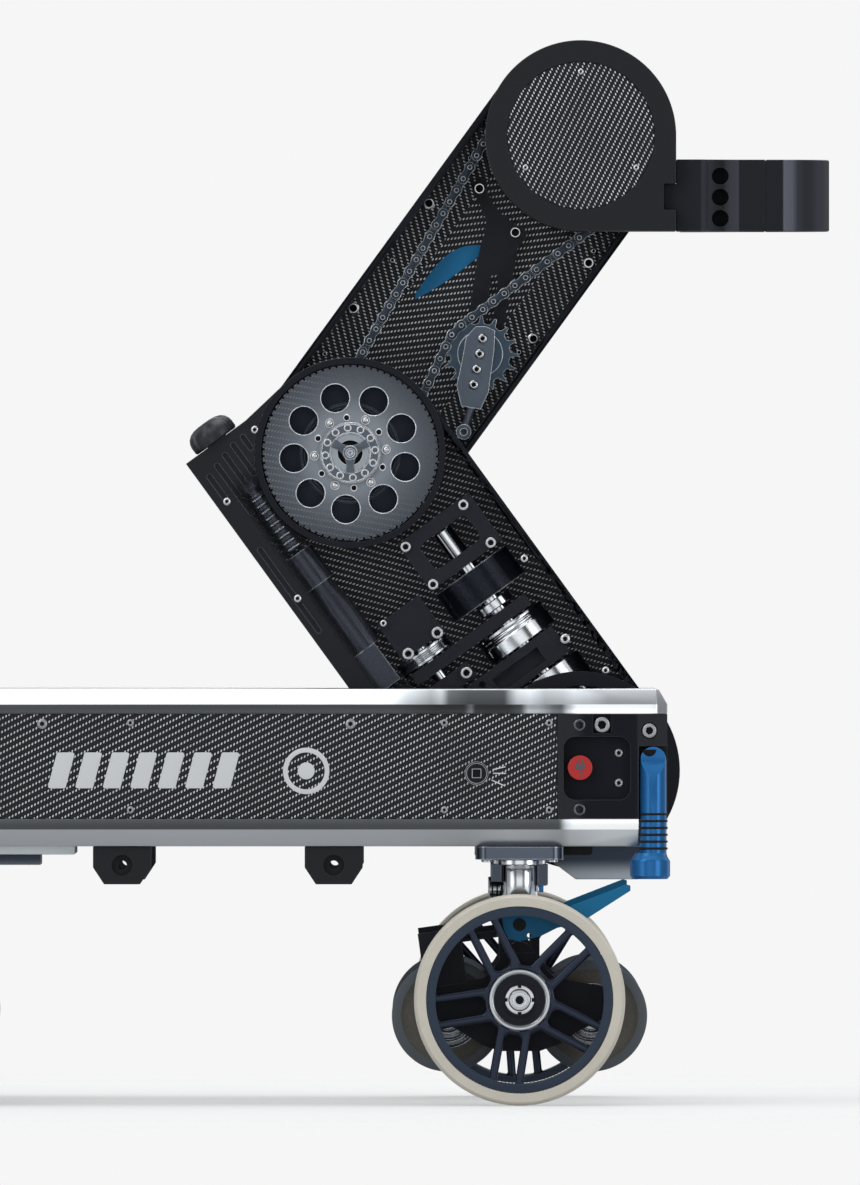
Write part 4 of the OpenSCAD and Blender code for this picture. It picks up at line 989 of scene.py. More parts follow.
def rim_windows(turn):
    """Openings round five pairs of parallel-sided spokes; turn is in degrees."""
    outer_r, root_r = 79.8, 34.0
    spoke_out, half_spoke = 12.6, 3.9  # a spoke's offset from its pair's middle, half its width
    gap = math.radians(72)

    def window(start, end, steps, root_end, root_start, outer_fillet, root_fillet):
        points = [polar(outer_r, start + (end - start) * i / steps) for i in range(steps + 1)]
        points += [polar(root_r, root_end), polar(root_r, root_start)]
        radii = [outer_fillet] + [0] * (steps - 1) + [outer_fillet] + [root_fillet] * 2
        return fillet(points, radii)

    windows = []
    for k in range(5):
        a = math.radians(44.5 + turn + 72 * k)
        # between the two spokes of a pair
        side = spoke_out - half_spoke
        tip, root = math.asin(side / outer_r), math.asin(side / root_r) * 0.93
        windows.append(window(a + tip, a - tip, 6, a - root, a + root, 7.0, 5.5))
        # between this pair and the next
        side = spoke_out + half_spoke
        tip, root = math.asin(side / outer_r), math.asin(side / root_r) * 0.97
        windows.append(window(a + tip, a + gap - tip, 14, a + gap - root, a + root, 6.5, 3.5))
    return windows


def castle_nut_outline():
    """Round nut with four slots."""
    points = []
    for i in range(4):
        start, end = math.radians(90 * i + 7), math.radians(90 * (i + 1) - 7)
        points += [polar(13.8, start + (end - start) * t / 8) for t in range(9)]
        points += [polar(11.6, math.radians(90 * (i + 1) + slot)) for slot in (-8, 8)]
    return points


def build_wheel(tag, centre, side, turn):
    """Rim, hub and axle end of one wheel; side is -1 when its outer face looks along -Y."""
    frame = Matrix.Translation(centre)
    if side > 0:
        frame = frame @ Matrix.Rotation(math.pi, 4, "Z")
    axis = frame @ aim(Vector((0, 0, 0)), NEAR)
    body = "wheel_" + tag

    def put(x, y, z):
        return frame @ Vector((x / 1000, y / 1000, z / 1000))

    def turned(name, profile, mat, sides, slot):
        bm = bmesh.new()
        lathe(bm, profile, sides, axis, closed=True)
        add_mesh(name + tag, bm, [mat], body, slot)

    disc = [circle(0, 0, 86.6, 120)] + rim_windows(turn) + [circle(0, 0, 24)]
    spokes = plate("wheel_spokes_" + tag, disc, -9.5, 6.5, "rim_spokes", body, 2.6, put,
                   "rim_dark", smooth=42, steps=3)
    # the front flange's edge is finely toothed
    teeth = [polar(88.45 if i % 2 else 87.75, 2 * math.pi * i / 320) for i in range(320)]
    plate("wheel_rim_face_" + tag, [teeth, circle(0, 0, 79.6, 120)], -18.6, -14.4, "rim_dark",
          body, 0.5, put, "rim_dark")
    turned("wheel_barrel_", BARREL, "rim_dark", 120, "rim_dark")
    turned("wheel_bezel_", BEZEL, "polished_bezel", 72, "polished_steel")
    turned("wheel_bearing_face_", BEARING_FACE, "black_anodised", 64, "black_anodised")
    plate("wheel_nut_" + tag, [castle_nut_outline(), circle(0, 0, 10.15, 40)], -18.6, -12.8,
          "screw_steel", body, 0.5, put, "screw_steel")
    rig.replaces(spokes, "wheel_rim_" + tag)
    bm = bmesh.new()
    lathe(bm, AXLE_END, 40, axis)
    add_mesh("axle_end_" + tag, bm, SCREW_MATS, "steer_" + tag, "screw_steel")


# ---------------------------------------------------------------- rail wheels
# half profile from the bore out: (radius, distance from the middle plane, material index)
RAIL_HALF = [
    (8.05, 13.5, 2), (12.4, 13.5, 2), (13.2, 12.8, 2), (13.6, 11.6, 3), (16.6, 11.6, 3),
    (17, 10.4, 3), (18.6, 10.4, 3), (19.2, 11.6, 2), (20.8, 12.0, 2), (21.4, 11.0, 2),
    (22.6, 9.6, 3), (25.0, 9.6, 3), (25.4, 11.2, 2), (26.8, 11.6, 2), (27.4, 10.6, 3),
    (30.6, 10.6, 3), (31.2, 12.4, 1), (37, 13.5, 1), (43.6, 15.1, 1), (44.1, 15.5, 0),
    (51.6, 15.5, 0), (52.6, 15.1, 0), (53, 14.2, 0), (52.7, 13.2, 0), (49, 10.8, 0),
    (45.6, 8.4, 0), (43.4, 5, 0), (42.3, 1.5, 0)]
RAIL_MATS = ("rail_flange", "rail_band", "machined_steel", "motor_black")


def build_rail_wheel(node, centre):
    profile = [(r, -h, plain, m) for r, h, m in RAIL_HALF]
    profile += [(r, h, plain, m) for r, h, m in RAIL_HALF[::-1]]
    bm = bmesh.new()
    lathe(bm, profile, 96, aim(centre, NEAR), closed=True)
    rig.replaces(add_mesh(node + "_lathe", bm, RAIL_MATS, node, "rail_wheel"), node)


# ---------------------------------------------------------------- steering
# (radius, z) of the sleeve and its top flange
STEER_TUBE = [
    (17.5, 192), (17.8, 192.4), (17.8, 225.8), (17.5, 226.3), (17.5, 227.0), (24.4, 227.2),
    (25.0, 227.8), (25.0, 231.6), (24.6, 232.1), (17.5, 232.2), (17.5, 231.6)]
# (x, z) of the ears either side of the tube, x outward from the steering axis
INNER_EAR = [(-26.6, 211.9), (-26.1, 211.3), (-17, 211.3), (-17, 228.0), (-26.1, 228.0),
             (-26.6, 227.5)]
OUTER_EAR = [(17, 207.6), (25.2, 207.6), (27.0, 209.4), (27.0, 227.4), (26.4, 228.0),
             (17, 228.0)]
# (radius, height)
GROOVED_SCREW = [
    (0, 0), (7.2, 0), (8.0, 0.6), (8.0, 2.4), (7.1, 2.8), (7.1, 3.6), (8.0, 4.0), (8.0, 7.0),
    (7.1, 7.4), (7.1, 8.2), (8.0, 8.6), (8.0, 10.6), (7.4, 11.2), (0, 11.2)]
SMALL_PIN = [(0, 0), (1.8, 0), (2.2, 0.4), (2.2, 6.0), (1.8, 6.4), (0, 6.4)]


def build_steering(tag, i, j):
    """Sleeve, ears, clamp screw and flange bolts on top of one fork."""
    body = "steer_" + tag

    def put(x, y, z):  # x grows outward along the dolly, y inward across it
        return at((CORNER + x) * i, (CORNER - y) * j, z)

    bm = bmesh.new()
    lathe(bm, STEER_TUBE, 72, aim(put(0, 0, 0), (0, 0, 1)), closed=True)
    add_mesh("steer_tube_" + tag, bm, ["polished_tube"], body, "fork_steel")

    bm = bmesh.new()
    prism(bm, INNER_EAR, -12.4, 12.4, put)
    prism(bm, OUTER_EAR, -9.4, 9.4, put)
    add_mesh("steer_ears_" + tag, bm, ["slate_steel"], body, "fork_steel")

    bm = bmesh.new()
    lathe(bm, GROOVED_SCREW, 40, aim(put(-28.9, 0, 203.8), (i, 0, 0)))
    lathe(bm, SMALL_PIN, 24, aim(put(20.6, -6, 201.4), (0, 0, 1)), mat=1)
    add_mesh("steer_clamp_screws_" + tag, bm, ["machined_steel", "blue_anodised"], body,
             "screw_steel")

    bm = bmesh.new()
    for a in (-31, 31):
        for b in (-28, 28):
            cap_screw(bm, at(CORNER * i + a, CORNER * j + b, 232.6), (0, 0, -1), 5.2, 2.6)
    add_mesh("flange_bolts_" + tag, bm, SCREW_MATS, "chassis", "screw_steel")


def build_corner(tag, i, j):
    wheel_centre = at(CORNER * i, (CORNER + WHEEL_OUT) * j, WHEEL_Z)
    build_wheel(tag, wheel_centre, j, turn=4.5 if j > 0 else 0.0)
    for letter, offset in (("a", -68), ("b", 68)):
        centre = at((CORNER + offset) * i, CORNER * j, 84.5)
        build_rail_wheel(f"rail_wheel_{letter}_{tag}", centre)
    build_steering(tag, i, j)


# ---------------------------------------------------------------- roller chain
PITCH = 12.7
IDLER = Vector((150.0, -44.3))  # (u, v) on the upper link


def pitch_radius(teeth):
    return PITCH / (2 * math.sin(math.pi / teeth))


def touch_angle(c1, r1, c2, r2, crossed, side):
    """Angle on the first circle where a common tangent touches it."""
    d = c2 - c1
    reach = r1 + r2 if crossed else r1 - r2
    return math.atan2(d.y, d.x) + side * math.acos(reach / d.length)


def chain_path():
    """Dense closed pitch line of the chain, in (u, v) on the upper link."""
    elbow, head = Vector((0, 0)), Vector((LINK, 0))
    elbow_r, head_r, idler_r = pitch_radius(19), pitch_radius(38), pitch_radius(16)
    top = touch_angle(elbow, elbow_r, head, head_r, crossed=False, side=1)
    low_elbow = touch_angle(elbow, elbow_r, IDLER, idler_r, crossed=True, side=-1)
    low_head = touch_angle(head, head_r, IDLER, idler_r, crossed=True, side=1)
    points = []

    def on(centre, r, angle):
        return centre + Vector(polar(r, angle))

    def arc(centre, r, start, end, n):
        points.extend(on(centre, r, start + (end - start) * k / n) for k in range(n))

    def straight(p, q, n):
        points.extend(p + (q - p) * k / n for k in range(n))

    arc(elbow, elbow_r, top, 2 * math.pi + low_elbow, 200)
    straight(on(elbow, elbow_r, low_elbow), on(IDLER, idler_r, low_elbow + math.pi), 200)
    arc(IDLER, idler_r, low_elbow + math.pi, low_head + math.pi, 60)
    straight(on(IDLER, idler_r, low_head + math.pi), on(head, head_r, low_head), 200)
    arc(head, head_r, low_head, top, 400)
    straight(on(head, head_r, top), on(elbow, elbow_r, top), 400)
    return points


def chain_pins():
    """Evenly spaced pins, an even number of them, along the path."""
    points = chain_path()
    points.append(points[0])
    run = [0.0]
    for p, q in zip(points, points[1:]):
        run.append(run[-1] + (q - p).length)
    count = round(run[-1] / PITCH / 2) * 2
    pins, k = [], 0
    for pin in range(count):
        s = pin * run[-1] / count
        while run[k + 1] < s:
            k += 1
        pins.append(points[k].lerp(points[k + 1], (s - run[k]) / (run[k + 1] - run[k])))
    return pins


def link_plate(bm, p, q, y0, y1, r, waist=3.4, chamfer=0.25):
    """Waisted plate with round ends of radius r between two pins."""
    length = (q - p).length
    along = (q - p).normalized()
    across = Vector((-along.y, along.x))
    outline = [polar(r, math.radians(62 + 236 * k / 8)) for k in range(9)]
    outline.append((length / 2, -waist))
    outline += shift([polar(r, math.radians(-118 + 236 * k / 8)) for k in range(9)], (length, 0))
    outline.append((length / 2, waist))
    inset = [(length / 2 + (x - length / 2) * 0.965, z * 0.9) for x, z in outline]
    rings = []
    for y, loop in ((y0, inset), (y0 + chamfer, outline), (y1 - chamfer, outline), (y1, inset)):
        spots = [p + along * x + across * z for x, z in loop]
        rings.append([bm.verts.new(at_upper(spot.x, y, spot.y)) for spot in spots])
    skin(bm, rings)


def build_chain():
    # (radius, height) of half a pin and its roller
    half = [(0, 7.1), (1.5, 7.1), (2.0, 6.7), (2.0, 4.0), (3.9, 3.9)]
    pin_profile = half + [(r, -h) for r, h in half[::-1]]
    pins = chain_pins()
    bm = bmesh.new()
    for k, p in enumerate(pins):
        # outer and inner plates take turns: (nearest y, farthest y, end radius)
        inner, outer, r = (5.3, 6.4, 4.9) if k % 2 else (4.1, 5.1, 5.2)
        for a, b in ((-outer, -inner), (inner, outer)):
            link_plate(bm, p, pins[(k + 1) % len(pins)], CHAIN_Y + a, CHAIN_Y + b, r)
    for p in pins:
        lathe(bm, pin_profile, 14, aim(at_upper(p.x, CHAIN_Y, p.y), NEAR), mat=1)
    chain = add_mesh("roller_chain_links", bm, ["chain_links", "chain_pins"], "upper_arm",
                     "machined_steel")
    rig.replaces(chain, "head_chain")


# ---------------------------------------------------------------- elbow
# lathe profiles as (radius, height towards the near side)
HUB_STUD = [(4.7, -0.2), (4.7, 0.5), (4.3, 0.9), (3.5, 0.9), (3.2, 0.7), (2.9, 1.9), (2.0, 2.6),
            (1.0, 2.8), (0, 2.85)]
HUB_EYELET = [(3.3, 0.0), (3.5, 0.25), (3.2, 0.5), (2.5, 0.5), (2.3, 0.1, plain, 1),
              (0, 0.05, plain, 1)]
HUB_RING = [(29.3, -3.9), (29.3, 0.2), (28.6, 0.8), (27.6, 0.8), (27.2, 0.35), (19.6, 0.35),
            (19.2, 0.9), (18.2, 0.9), (17.6, 0.2), (17.6, -3.9)]
HUB_CENTRE = [(7.2, -1), (7.2, 2.6), (6.6, 3.2), (4.4, 3.2), (4.0, 2.8), (2.6, 2.8), (2.4, 3.1),
              (1.4, 3.1), (1.2, 1.4), (0, 1.2)]
HOLE_RIM = [(13.45, -1.0), (13.45, 0.15), (13.8, 0.42), (14.3, 0.15), (14.3, -0.1)]
HUB_PLATE = [
    (12.2, 46), (36, 46), (36.4, 49), (37.6, 49.4), (38.4, 49), (38.8, 47), (40.8, 47),
    (41.2, 50), (42.4, 50.4), (43.2, 50), (43.6, 47), (46, 47), (46.4, 49), (47.2, 49),
    (47.8, 46), (71, 46), (72, 45), (72, 41), (12.2, 41)]
CORE_CAP = [(0, 78), (11.9, 78), (11.9, 81.4), (11.2, 82), (0, 82)]


def spider_outline():
    """Three flared arms, the first pointing down."""
    points = []

    def arm(k, out, side):
        d = Vector(polar(1, math.radians(-90 + 120 * k)))
        points.append(tuple(d * out + Vector((-d.y, d.x)) * side))

    for k in range(3):
        arm(k, 19.4, -4.6)
        arm(k, 19.4, 4.6)
        arm(k, 11.5, 3.4)
        points.append(polar(6.6, math.radians(-30 + 120 * k)))
        arm(k + 1, 11.5, -3.4)
    return fillet(points, [1.0, 1.0, 4, 2, 4] * 3, 4)


def build_elbow_front():
    """Screws, three-armed spider, hub ring and the rims of the gear's holes."""
    bm = bmesh.new()
    for pos in spread(at_elbow, 23.8, HUB_Y + 0.2, count=12, first=6):
        cap_screw(bm, pos, NEAR, 4.0, 1.4)
    for pos in spread(at_elbow, 34.3, LOWER_Y - 1.9, count=6, first=5):
        lathe(bm, HUB_STUD, 28, aim(pos, NEAR), capped=False)
    for pos in spread(at_elbow, 33.6, LOWER_Y - 2.1, count=6, first=36):
        lathe(bm, HUB_EYELET, 20, aim(pos, NEAR), capped=False)
    add_mesh("elbow_hub_screws", bm, SCREW_MATS, "upper_arm", "screw_steel")

    plate("elbow_spider", [spider_outline()], HUB_Y - 1.2, HUB_Y + 2.4, "pale_alloy",
          "upper_arm", 0.6, at_elbow, "machined_steel")

    bm = bmesh.new()
    axis = aim(at_elbow(0, HUB_Y, 0), NEAR)
    lathe(bm, HUB_RING, 72, axis, closed=True)
    lathe(bm, HUB_CENTRE, 32, axis)
    add_mesh("elbow_hub_ring", bm, ["pale_alloy"], "upper_arm", "machined_steel")

    bm = bmesh.new()
    for pos in spread(at_elbow, 54, LOWER_Y - 2.05, count=9, first=25.5):
        lathe(bm, HOLE_RIM, 40, aim(pos, NEAR), closed=True)
    add_mesh("elbow_gear_hole_rims", bm, ["pale_alloy"], "upper_arm", "machined_steel")


def build_elbow_back():
    """Ribbed plate seen through the gear's holes, and the dark core behind the spider."""
    axis = aim(at_elbow(0, 0, 0), NEAR)
    bm = bmesh.new()
    lathe(bm, HUB_PLATE, 96, axis, closed=True)
    add_mesh("elbow_hub_plate", bm, ["hub_plate"], "upper_arm", "gear_slate")
    bm = bmesh.new()
    lathe(bm, CORE_CAP, 40, axis)
    add_mesh("elbow_core_cap", bm, ["socket_dark"], "upper_arm", "gear_slate")


# ---------------------------------------------------------------- screws on the arm and head
def build_lower_arm_screws():
    bm = bmesh.new()
    for u, v in ((445.4, 60.8), (405.6, 122.5), (291.1, 122.3)):
        button_screw(bm, at_lower(u, LOWER_Y - 2, v), NEAR, 4.0, 1.8)
    for u, v, r in ((110, -61.5, 5.0), (63, -75, 3.9), (195, -75, 3.9), (224, 70, 3.5)):
        button_screw(bm, at_lower(u, LOWER_Y, v), NEAR, r, 1.6)
    for u in (270.5, 226):
        for v in (10, -58):
            cap_screw(bm, at_lower(u, LOWER_Y + 4, v), NEAR, 5.0, 3.4)
    for u in (186.4, 139):
        for v in (33.8, 68):
            cap_screw(bm, at_lower(u, LOWER_Y + 6, v), NEAR, 5.6, 3.8)
    add_mesh("lower_arm_screws", bm, SCREW_MATS, "lower_arm", "screw_steel")


def build_upper_arm_screws():
    panel_y = UPPER_Y - 4
    bm = bmesh.new()
    for x, z in ((189.05, 803.7), (381.9, 812.3), (310.3, 715.4), (263.7, 901.6),
                 (124.3, 714.1)):
        button_screw(bm, at(x, panel_y, z), NEAR, 3.2, 1.6)
    # hollow standoffs: x, z, radius
    for x, z, r in ((224.2, 857.9, 6.0), (151.7, 757.5, 6.0), (377.1, 800.9, 5.4),
                    (324.1, 728.3, 5.6), (239.7, 626.7, 6.6)):
        rings = [(r, -1), (r, 12), (r * 0.86, 12.6), (r * 0.62, 12.6), (r * 0.55, 12.0),
                 (r * 0.52, 6, plain, 1), (0, 6, plain, 1)]
        lathe(bm, rings, 28, aim(at(x, panel_y, z), NEAR))
    # a row of four bolts on the tensioner carrier
    for k in range(4):
        u, v = 163.0 - 40.8 * k / 3, -37.7 - 19.0 * k / 3
        button_screw(bm, at_upper(u, CHAIN_Y - 17, v), NEAR, 4.9, 2.4)
    # hollow bolts at the tensioner's rod end and lever
    rings = [(5.2, -1), (5.2, 2.0), (4.6, 2.6), (3.7, 2.6), (3.2, 2.0), (3.1, -0.6, plain, 1),
             (0, -0.6, plain, 1)]
    for u, v in ((277.6, 49.2), (263.8, -3.3)):
        lathe(bm, rings, 28, aim(at_upper(u, UPPER_Y - 15, v), NEAR))
    add_mesh("upper_arm_screws", bm, SCREW_MATS, "upper_arm", "screw_steel")


def build_head_screws():
    bm = bmesh.new()
    for pos in spread(at_head, 61, LOWER_Y + 0.4, count=3, first=90):
        button_screw(bm, pos, NEAR, 2.8, 0.8)
    add_mesh("head_disc_screws", bm, SCREW_MATS, "head", "screw_steel")


# ---------------------------------------------------------------- chassis small parts
DECAL_Y = (HALF_WIDTH - 1.1, HALF_WIDTH - 1.62)  # outer and inner face of the side decals


def build_corner_sockets():
    """Two dark hexagon sockets in the near right corner block."""
    r = 4.8
    rings = [(r, -0.4), (r + 0.5, 0.3), (r, 0.6), (r * 0.8, 0.5), (r * 0.72, -0.2, hexagon, 1),
             (0, -0.3, plain, 1)]
    bm = bmesh.new()
    for z in (360.0, 279.8):
        lathe(bm, rings, 24, aim(at(366.7, -HALF_WIDTH + 1.9872, z), NEAR), capped=False)
    add_mesh("corner_sockets", bm, ["slate_steel", "socket_dark"], "chassis", "black_casting")


def build_panel_screws():
    panel_y, pocket_y = HALF_WIDTH - 1.5, HALF_WIDTH - 12
    bm = bmesh.new()
    for _, side in SIDES:
        facing = (0, side, 0)
        for x in (-338, -208, -58.5, 238.7, 338):
            for z in (279.5, 362):
                button_screw(bm, at(x, side * panel_y, z), facing, 3.6, 1.4)
        for x in (-142, 149.9):
            button_screw(bm, at(x, side * panel_y, 361), facing, 5, 1.4)
        for i in (-1, 1):
            cap_screw(bm, at(i * 388, side * pocket_y, 360), facing, 7.4, 6)
            cap_screw(bm, at(i * 433, side * pocket_y, 354.5), facing, 6.6, 4)
    for z in (333.5, 305):
        button_screw(bm, at(404, -HALF_WIDTH + 14, z), NEAR, 4.4, 2.4)
    screws = add_mesh("panel_screws", bm, ["screw_satin", "socket_dark"], "chassis",
                      "screw_steel")
    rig.replaces(screws, "chassis_screws")


def build_selector():
    """Two fine rims and a square key hole's edge on the knob, three ticks beside it."""
    axis = aim(at(SELECTOR[0], -HALF_WIDTH - 4, SELECTOR[1]), NEAR)
    bm = bmesh.new()
    for rings in ([(9.1, -0.2), (9.3, 0.2), (9.7, 0.2), (9.9, -0.2)],
                  [(10.6, -0.2), (10.8, 0.15), (11.1, 0.15), (11.2, -0.3)]):
        lathe(bm, rings, 48, axis, capped=False)
    add_mesh("selector_rim", bm, ["screw_satin"], "selector_knob", "screw_steel")

    squares = []
    for half, radius in ((4.5, 0.5), (3.8, 0.4)):
        square = [(half, half), (-half, half), (-half, -half), (half, -half)]
        squares.append(fillet(shift(square, SELECTOR), radius, 3))
    plate("selector_key_edge", squares, -HALF_WIDTH - 4.3, -HALF_WIDTH - 3.8, "screw_satin",
          "selector_knob", 0.1)

    half_width, start, end = 0.55, 15.5, 28.0
    for k, degrees in enumerate((13, 0, -24)):
        d = Vector(polar(1, math.radians(degrees)))
        n = Vector((-d.y, d.x)) * half_width
        tick = [tuple(q) for q in (d * start + n, d * start - n, d * end - n, d * end + n)]
        plate(f"selector_tick_{k}", [shift(tick, SELECTOR)], -HALF_WIDTH + 1.1,
              -HALF_WIDTH + 1.6, "decal_grey", "chassis", 0.1)


def build_side_marks():
    """Seven slanted bars and a ring with a dot on each side panel."""
    width, gap, bottom, top = 17, 9, 300.0, 334.0
    lean = (top - bottom) * math.tan(math.radians(15))
    emblem = (108.0, 316.5)
    for side_name, side in SIDES:
        y0, y1 = (side * y for y in DECAL_Y)
        tag = side_name[0]

        def decal(name, loops):
            plate(name, loops, y0, y1, "decal_grey", "chassis", 0.1)

        for k in range(7):
            x = -137.0 + k * (width + gap)
            bar = [(x, bottom), (x + width, bottom), (x + width + lean, top), (x + lean, top)]
            decal(f"side_bar_{tag}{k}", [fillet(bar, 2.0, 4)])
        decal("side_ring_" + tag, [circle(*emblem, 22, 64), circle(*emblem, 17.5, 64)])
        decal("side_dot_" + tag, [circle(*emblem, 8)])


def build_blue_bar():
    """Curved blue sliver on the upper link's panel."""
    steps = [k / 24 for k in range(25)]
    upper = [(211.0 + 64.0 * t, 771.0 + 47.0 * t + 15.0 * math.sin(math.pi * t)) for t in steps]
    lower = [(211.0 + 64.0 * t, 766.0 + 44.0 * t - 3.0 * math.sin(math.pi * t))
             for t in steps[::-1]]
    plate("upper_blue_bar", [upper + lower], UPPER_Y - 4.9, UPPER_Y - 4.2, "decal_blue",
          "upper_arm", 0.15)


# (x, z) outlines of the plug symbol from the button's centre
PLUG = {
    "plug_body": fillet([(-4.6, -2.2), (4.6, -2.2), (4.6, 3.2), (-4.6, 3.2)],
                        [3.6, 3.6, 0.8, 0.8]),
    "plug_pin_a": [(-2.8, 3.6), (-1.4, 3.6), (-1.4, 7.6), (-2.8, 7.6)],
    "plug_pin_b": [(1.4, 3.6), (2.8, 3.6), (2.8, 7.6), (1.4, 7.6)],
    "plug_cord": [(-0.6, -2.4), (-0.2, -5.0), (1.2, -6.4), (0.4, -9.0), (1.6, -9.0),
                  (2.4, -6.2), (1.0, -4.6), (0.8, -2.4)],
}


def build_button_symbol():
    for name, outline in PLUG.items():
        plate("button_" + name, [shift(outline, BUTTON)], -HALF_WIDTH + 1.75,
              -HALF_WIDTH + 2.15, "decal_dark", "power_button", 0.1)


def build_handle_parts():
    """O-rings round the carry handles, then the dark recess shapes by each handle, thin sheets of painted shade."""
    ring_r, cord_r = 12.75, 1.15
    for name, side in SIDES:
        bm = bmesh.new()
        axis = aim(at(436.6, side * 336.8, 0), (0, 0, 1))
        for k in range(6):
            section = [polar(cord_r, 2 * math.pi * t / 12) for t in range(12)]
            lathe(bm, shift(section, (ring_r, 243 + 6.5 * k)), 48, axis, closed=True)
        add_mesh("handle_orings_" + name, bm, ["black_rubber"], "handle_" + name,
                 "black_anodised", smooth=60)
    half_round = shift([polar(6.4, math.pi + math.pi * t / 20) for t in range(21)], (433, 336.6))
    belly = fillet([(349.6, 236.2), (379.4, 236.2), (379.4, 245.2), (349.6, 245.2)],
                   [3, 3, 0, 0], 5)
    for name, side in SIDES:
        # painted shade: a thin dark sheet where the handle's recess is
        plate("handle_socket_" + name, [half_round], side * 341.9, side * 342.8, "socket_dark",
              "handle_" + name, 0.25)
        plate("belly_socket_" + name, [belly], side * 270, side * 290, "black_powder",
              "chassis", 0.5)


# ---------------------------------------------------------------- worm, its shaft and hand knob
# (radius, distance from the base pivot's level along the lower link)
SHAFT_START = [(0, 330), (7.4, 330), (8, 330.6), (10.2, 330.9)]
SHAFT_END = [
    (10.2, 395), (8, 395.4), (8, 400), (11.4, 400.2), (12, 401), (12, 424), (11.4, 424.8),
    (8, 425), (8, 455.5), (9.5, 457.6), (12, 458.1)]
HAND_KNOB = [
    (11, 458.1), (21.6, 458.1, scallops), (22.8, 458.8, scallops), (23.4, 460.2, scallops),
    (23.5, 466, scallops), (22.9, 469.4, scallops), (20.8, 473.4, scallops),
    (17.2, 476.4, scallops), (12.5, 478.2), (6.5, 478.9), (0, 479.0)]


def build_worm():
    rings = list(SHAFT_START)
    # painted highlight lines: the crest of each thread is a narrow band of brighter steel
    for k in range(9):
        q = 331 + 7.2 * k
        rings += [(10.6, q), (12.1, q + 0.9), (12.6, q + 1.7, plain, 2),
                  (12.6, q + 2.5, plain, 2), (12.1, q + 3.3), (10.6, q + 4.2)]
    axis = aim(at_lower(0, -66, 96.5), (-COS, 0, SIN))
    bm = bmesh.new()
    lathe(bm, rings + SHAFT_END, 40, axis, capped=False)
    lathe(bm, HAND_KNOB, 72, axis, mat=1, capped=False)
    worm = add_mesh("elbow_worm_shaft", bm, ["worm_satin", "knob_black", "machined_steel"],
                    "elbow_worm", "black_anodised", smooth=50)
    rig.replaces(worm, "elbow_worm")


# ---------------------------------------------------------------- floor, world, lights, camera
def build_floor():
    """Pale disc that fades out with distance; its size is in metres."""
    bm = bmesh.new()
    bmesh.ops.create_circle(bm, cap_ends=True, radius=3.2, segments=96)
    mesh = bpy.data.meshes.new("floor")
    bm.to_mesh(mesh)
    bm.free()
    floor = bpy.data.objects.new("floor", mesh)
    scene.collection.objects.link(floor)
    floor.location = (0, 0, -0.0004)
    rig.stage(floor)
    s = Material("floor_pale")
    v = s.object_mm()
    x, y, _ = s.axes(v)
    tone = s.mix(s.noise(v, scale=0.004), (0.70, 0.70, 0.70), (0.76, 0.76, 0.76))
    fade = s.ease(s.radius(x, y), (700, 2600), to=(0.5, 0.0))
    s.surface(colour=tone, rough=0.8, alpha=fade)
    mesh.materials.append(MAT["floor_pale"])


def build_world():
    """Studio surroundings for the reflections; the camera itself sees an even pale grey."""
    scene.world = bpy.data.worlds.new("studio")
    scene.world.use_nodes = True
    s = Shader(scene.world.node_tree)
    output = s.node("OutputWorld")
    x, y, z = s.axes(s.node("TexCoord").outputs["Generated"])
    overhead = s.ease(z, (0.62, 0.9))
    front = s.ease(y, (-0.35, -0.8))
    # eye-level band in front, with an upright dark gap and a bright strip on either side
    band = s.times(s.ease(s.absolute(s.plus(z, -0.03)), (0.30, 0.06)), front)
    across = s.absolute(x)
    gap = s.times(s.ease(s.absolute(s.minus(across, 0.42)), (0.16, 0.05)),
                  s.ease(s.absolute(z), (0.6, 0.3)))
    strip = s.times(s.ease(s.absolute(s.minus(across, 0.72)), (0.16, 0.06)),
                    s.ease(s.absolute(z), (0.7, 0.4)))
    strength = s.scaled(overhead, gain=0.95, offset=0.40)
    strength = s.scaled(band, gain=0.85, offset=strength)
    strength = s.scaled(strip, gain=0.9, offset=strength)
    strength = s.times(strength, s.scaled(gap, gain=-0.75, offset=1.0))
    mixer = s.node("MixShader")
    s.feed(mixer.inputs[0], s.node("LightPath").outputs["Is Camera Ray"])
    backgrounds = (((0.95, 0.975, 1.0), strength), ((0.922, 0.922, 0.922), 1.0))
    for socket, (colour, power) in zip(mixer.inputs[1:], backgrounds):
        background = s.node("Background")
        s.feed(background.inputs[0], colour)
        s.feed(background.inputs[1], power)
        s.feed(socket, background.outputs[0])
    s.feed(output.inputs[0], mixer.outputs[0])


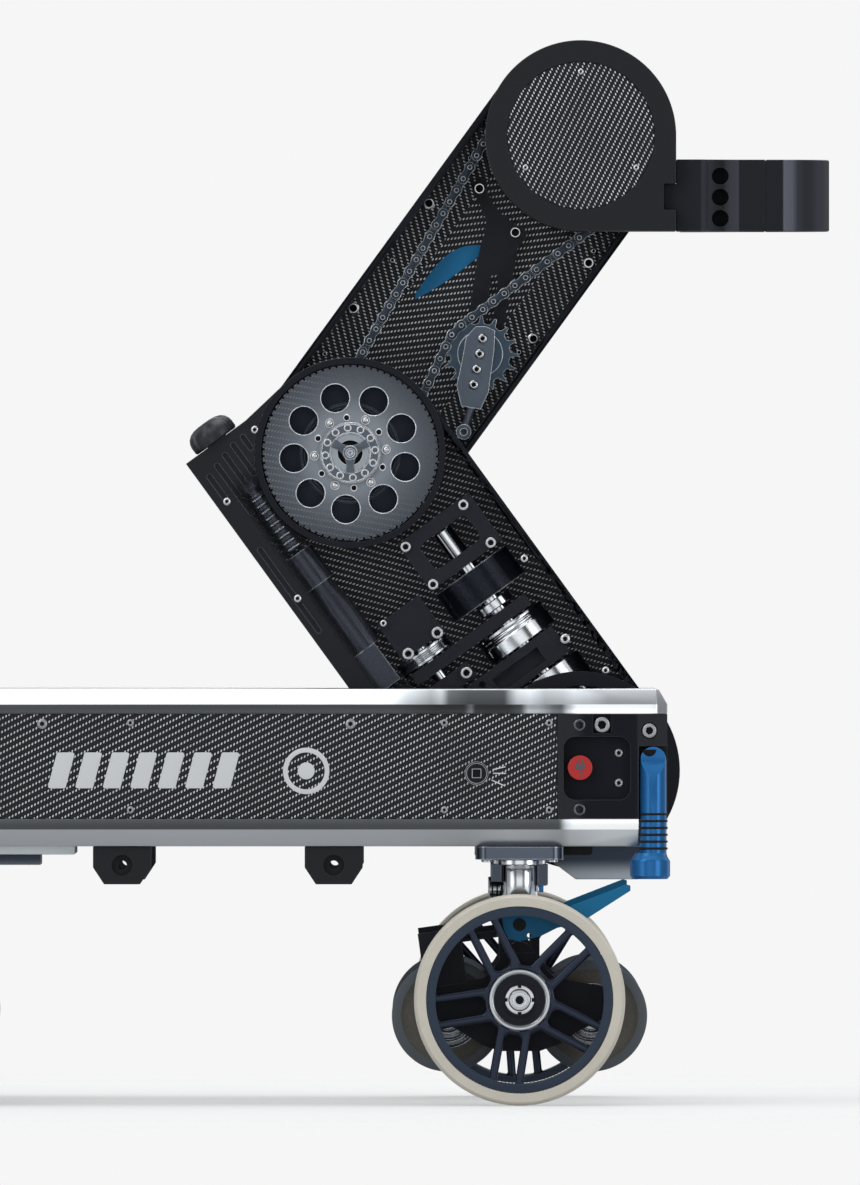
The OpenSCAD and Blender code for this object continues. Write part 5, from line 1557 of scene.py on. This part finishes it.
def area_light(name, place, target, size, power):
    """Rectangular light; metres and watts."""
    light = bpy.data.lights.new(name, "AREA")
    light.shape = "RECTANGLE"
    light.size, light.size_y = size
    light.energy = power
    obj = bpy.data.objects.new(name, light)
    scene.collection.objects.link(obj)
    obj.location = place
    direction = Vector(target) - Vector(place)
    obj.rotation_euler = direction.to_track_quat("-Z", "Y").to_euler()


def build_lights():
    area_light("key", (-1.6, -2.6, 2.4), target=(0, 0, 0.45), size=(1.6, 1.6), power=26)
    area_light("fill", (2.2, -2.2, 1.0), target=(0, 0, 0.4), size=(1.2, 2.0), power=9)
    area_light("top", (0.2, 0.0, 3.0), target=(0, 0, 0.3), size=(2.0, 1.6), power=24)
    area_light("back", (0.5, 2.8, 1.8), target=(0, 0, 0.5), size=(2.0, 1.4), power=16)


def build_camera():
    """Very long lens looking along +Y, so the view is almost without perspective."""
    view_width = 1.12575  # metres across the picture
    subject_y = -0.22  # metres, the plane where that width holds
    data = bpy.data.cameras.new("cam")
    cam = bpy.data.objects.new("cam", data)
    scene.collection.objects.link(cam)
    scene.camera = cam
    data.lens = 1200
    data.sensor_width = 36
    distance = view_width * 1200 / 36
    cam.location = ((225.2 - MID) / 1000, subject_y - distance, 0.4854)
    cam.rotation_euler = (math.pi / 2, 0, 0)
    data.clip_start, data.clip_end = 1.0, 100.0
    scene.view_settings.view_transform = "Standard"
    scene.view_settings.look = "None"
    scene.view_settings.exposure = 0
    scene.view_settings.gamma = 1


# ---------------------------------------------------------------- build
make_materials()
for piece, (material, width) in LOOKS.items():
    dress(piece, material, width)
for tag, signs in CORNERS.items():
    build_corner(tag, *signs)
for build in (build_chain, build_elbow_front, build_lower_arm_screws, build_upper_arm_screws,
              build_head_screws, build_corner_sockets, build_panel_screws, build_selector,
              build_side_marks, build_blue_bar, build_button_symbol):
    build()
build_handle_parts()
build_worm()
build_elbow_back()
build_floor()
build_world()
build_lights()
build_camera()

new_lo, new_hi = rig.bounds()
json.dump({"cad": [list(cad_lo), list(cad_hi)], "visual": [list(new_lo), list(new_hi)]}, open("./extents.json", "w"))
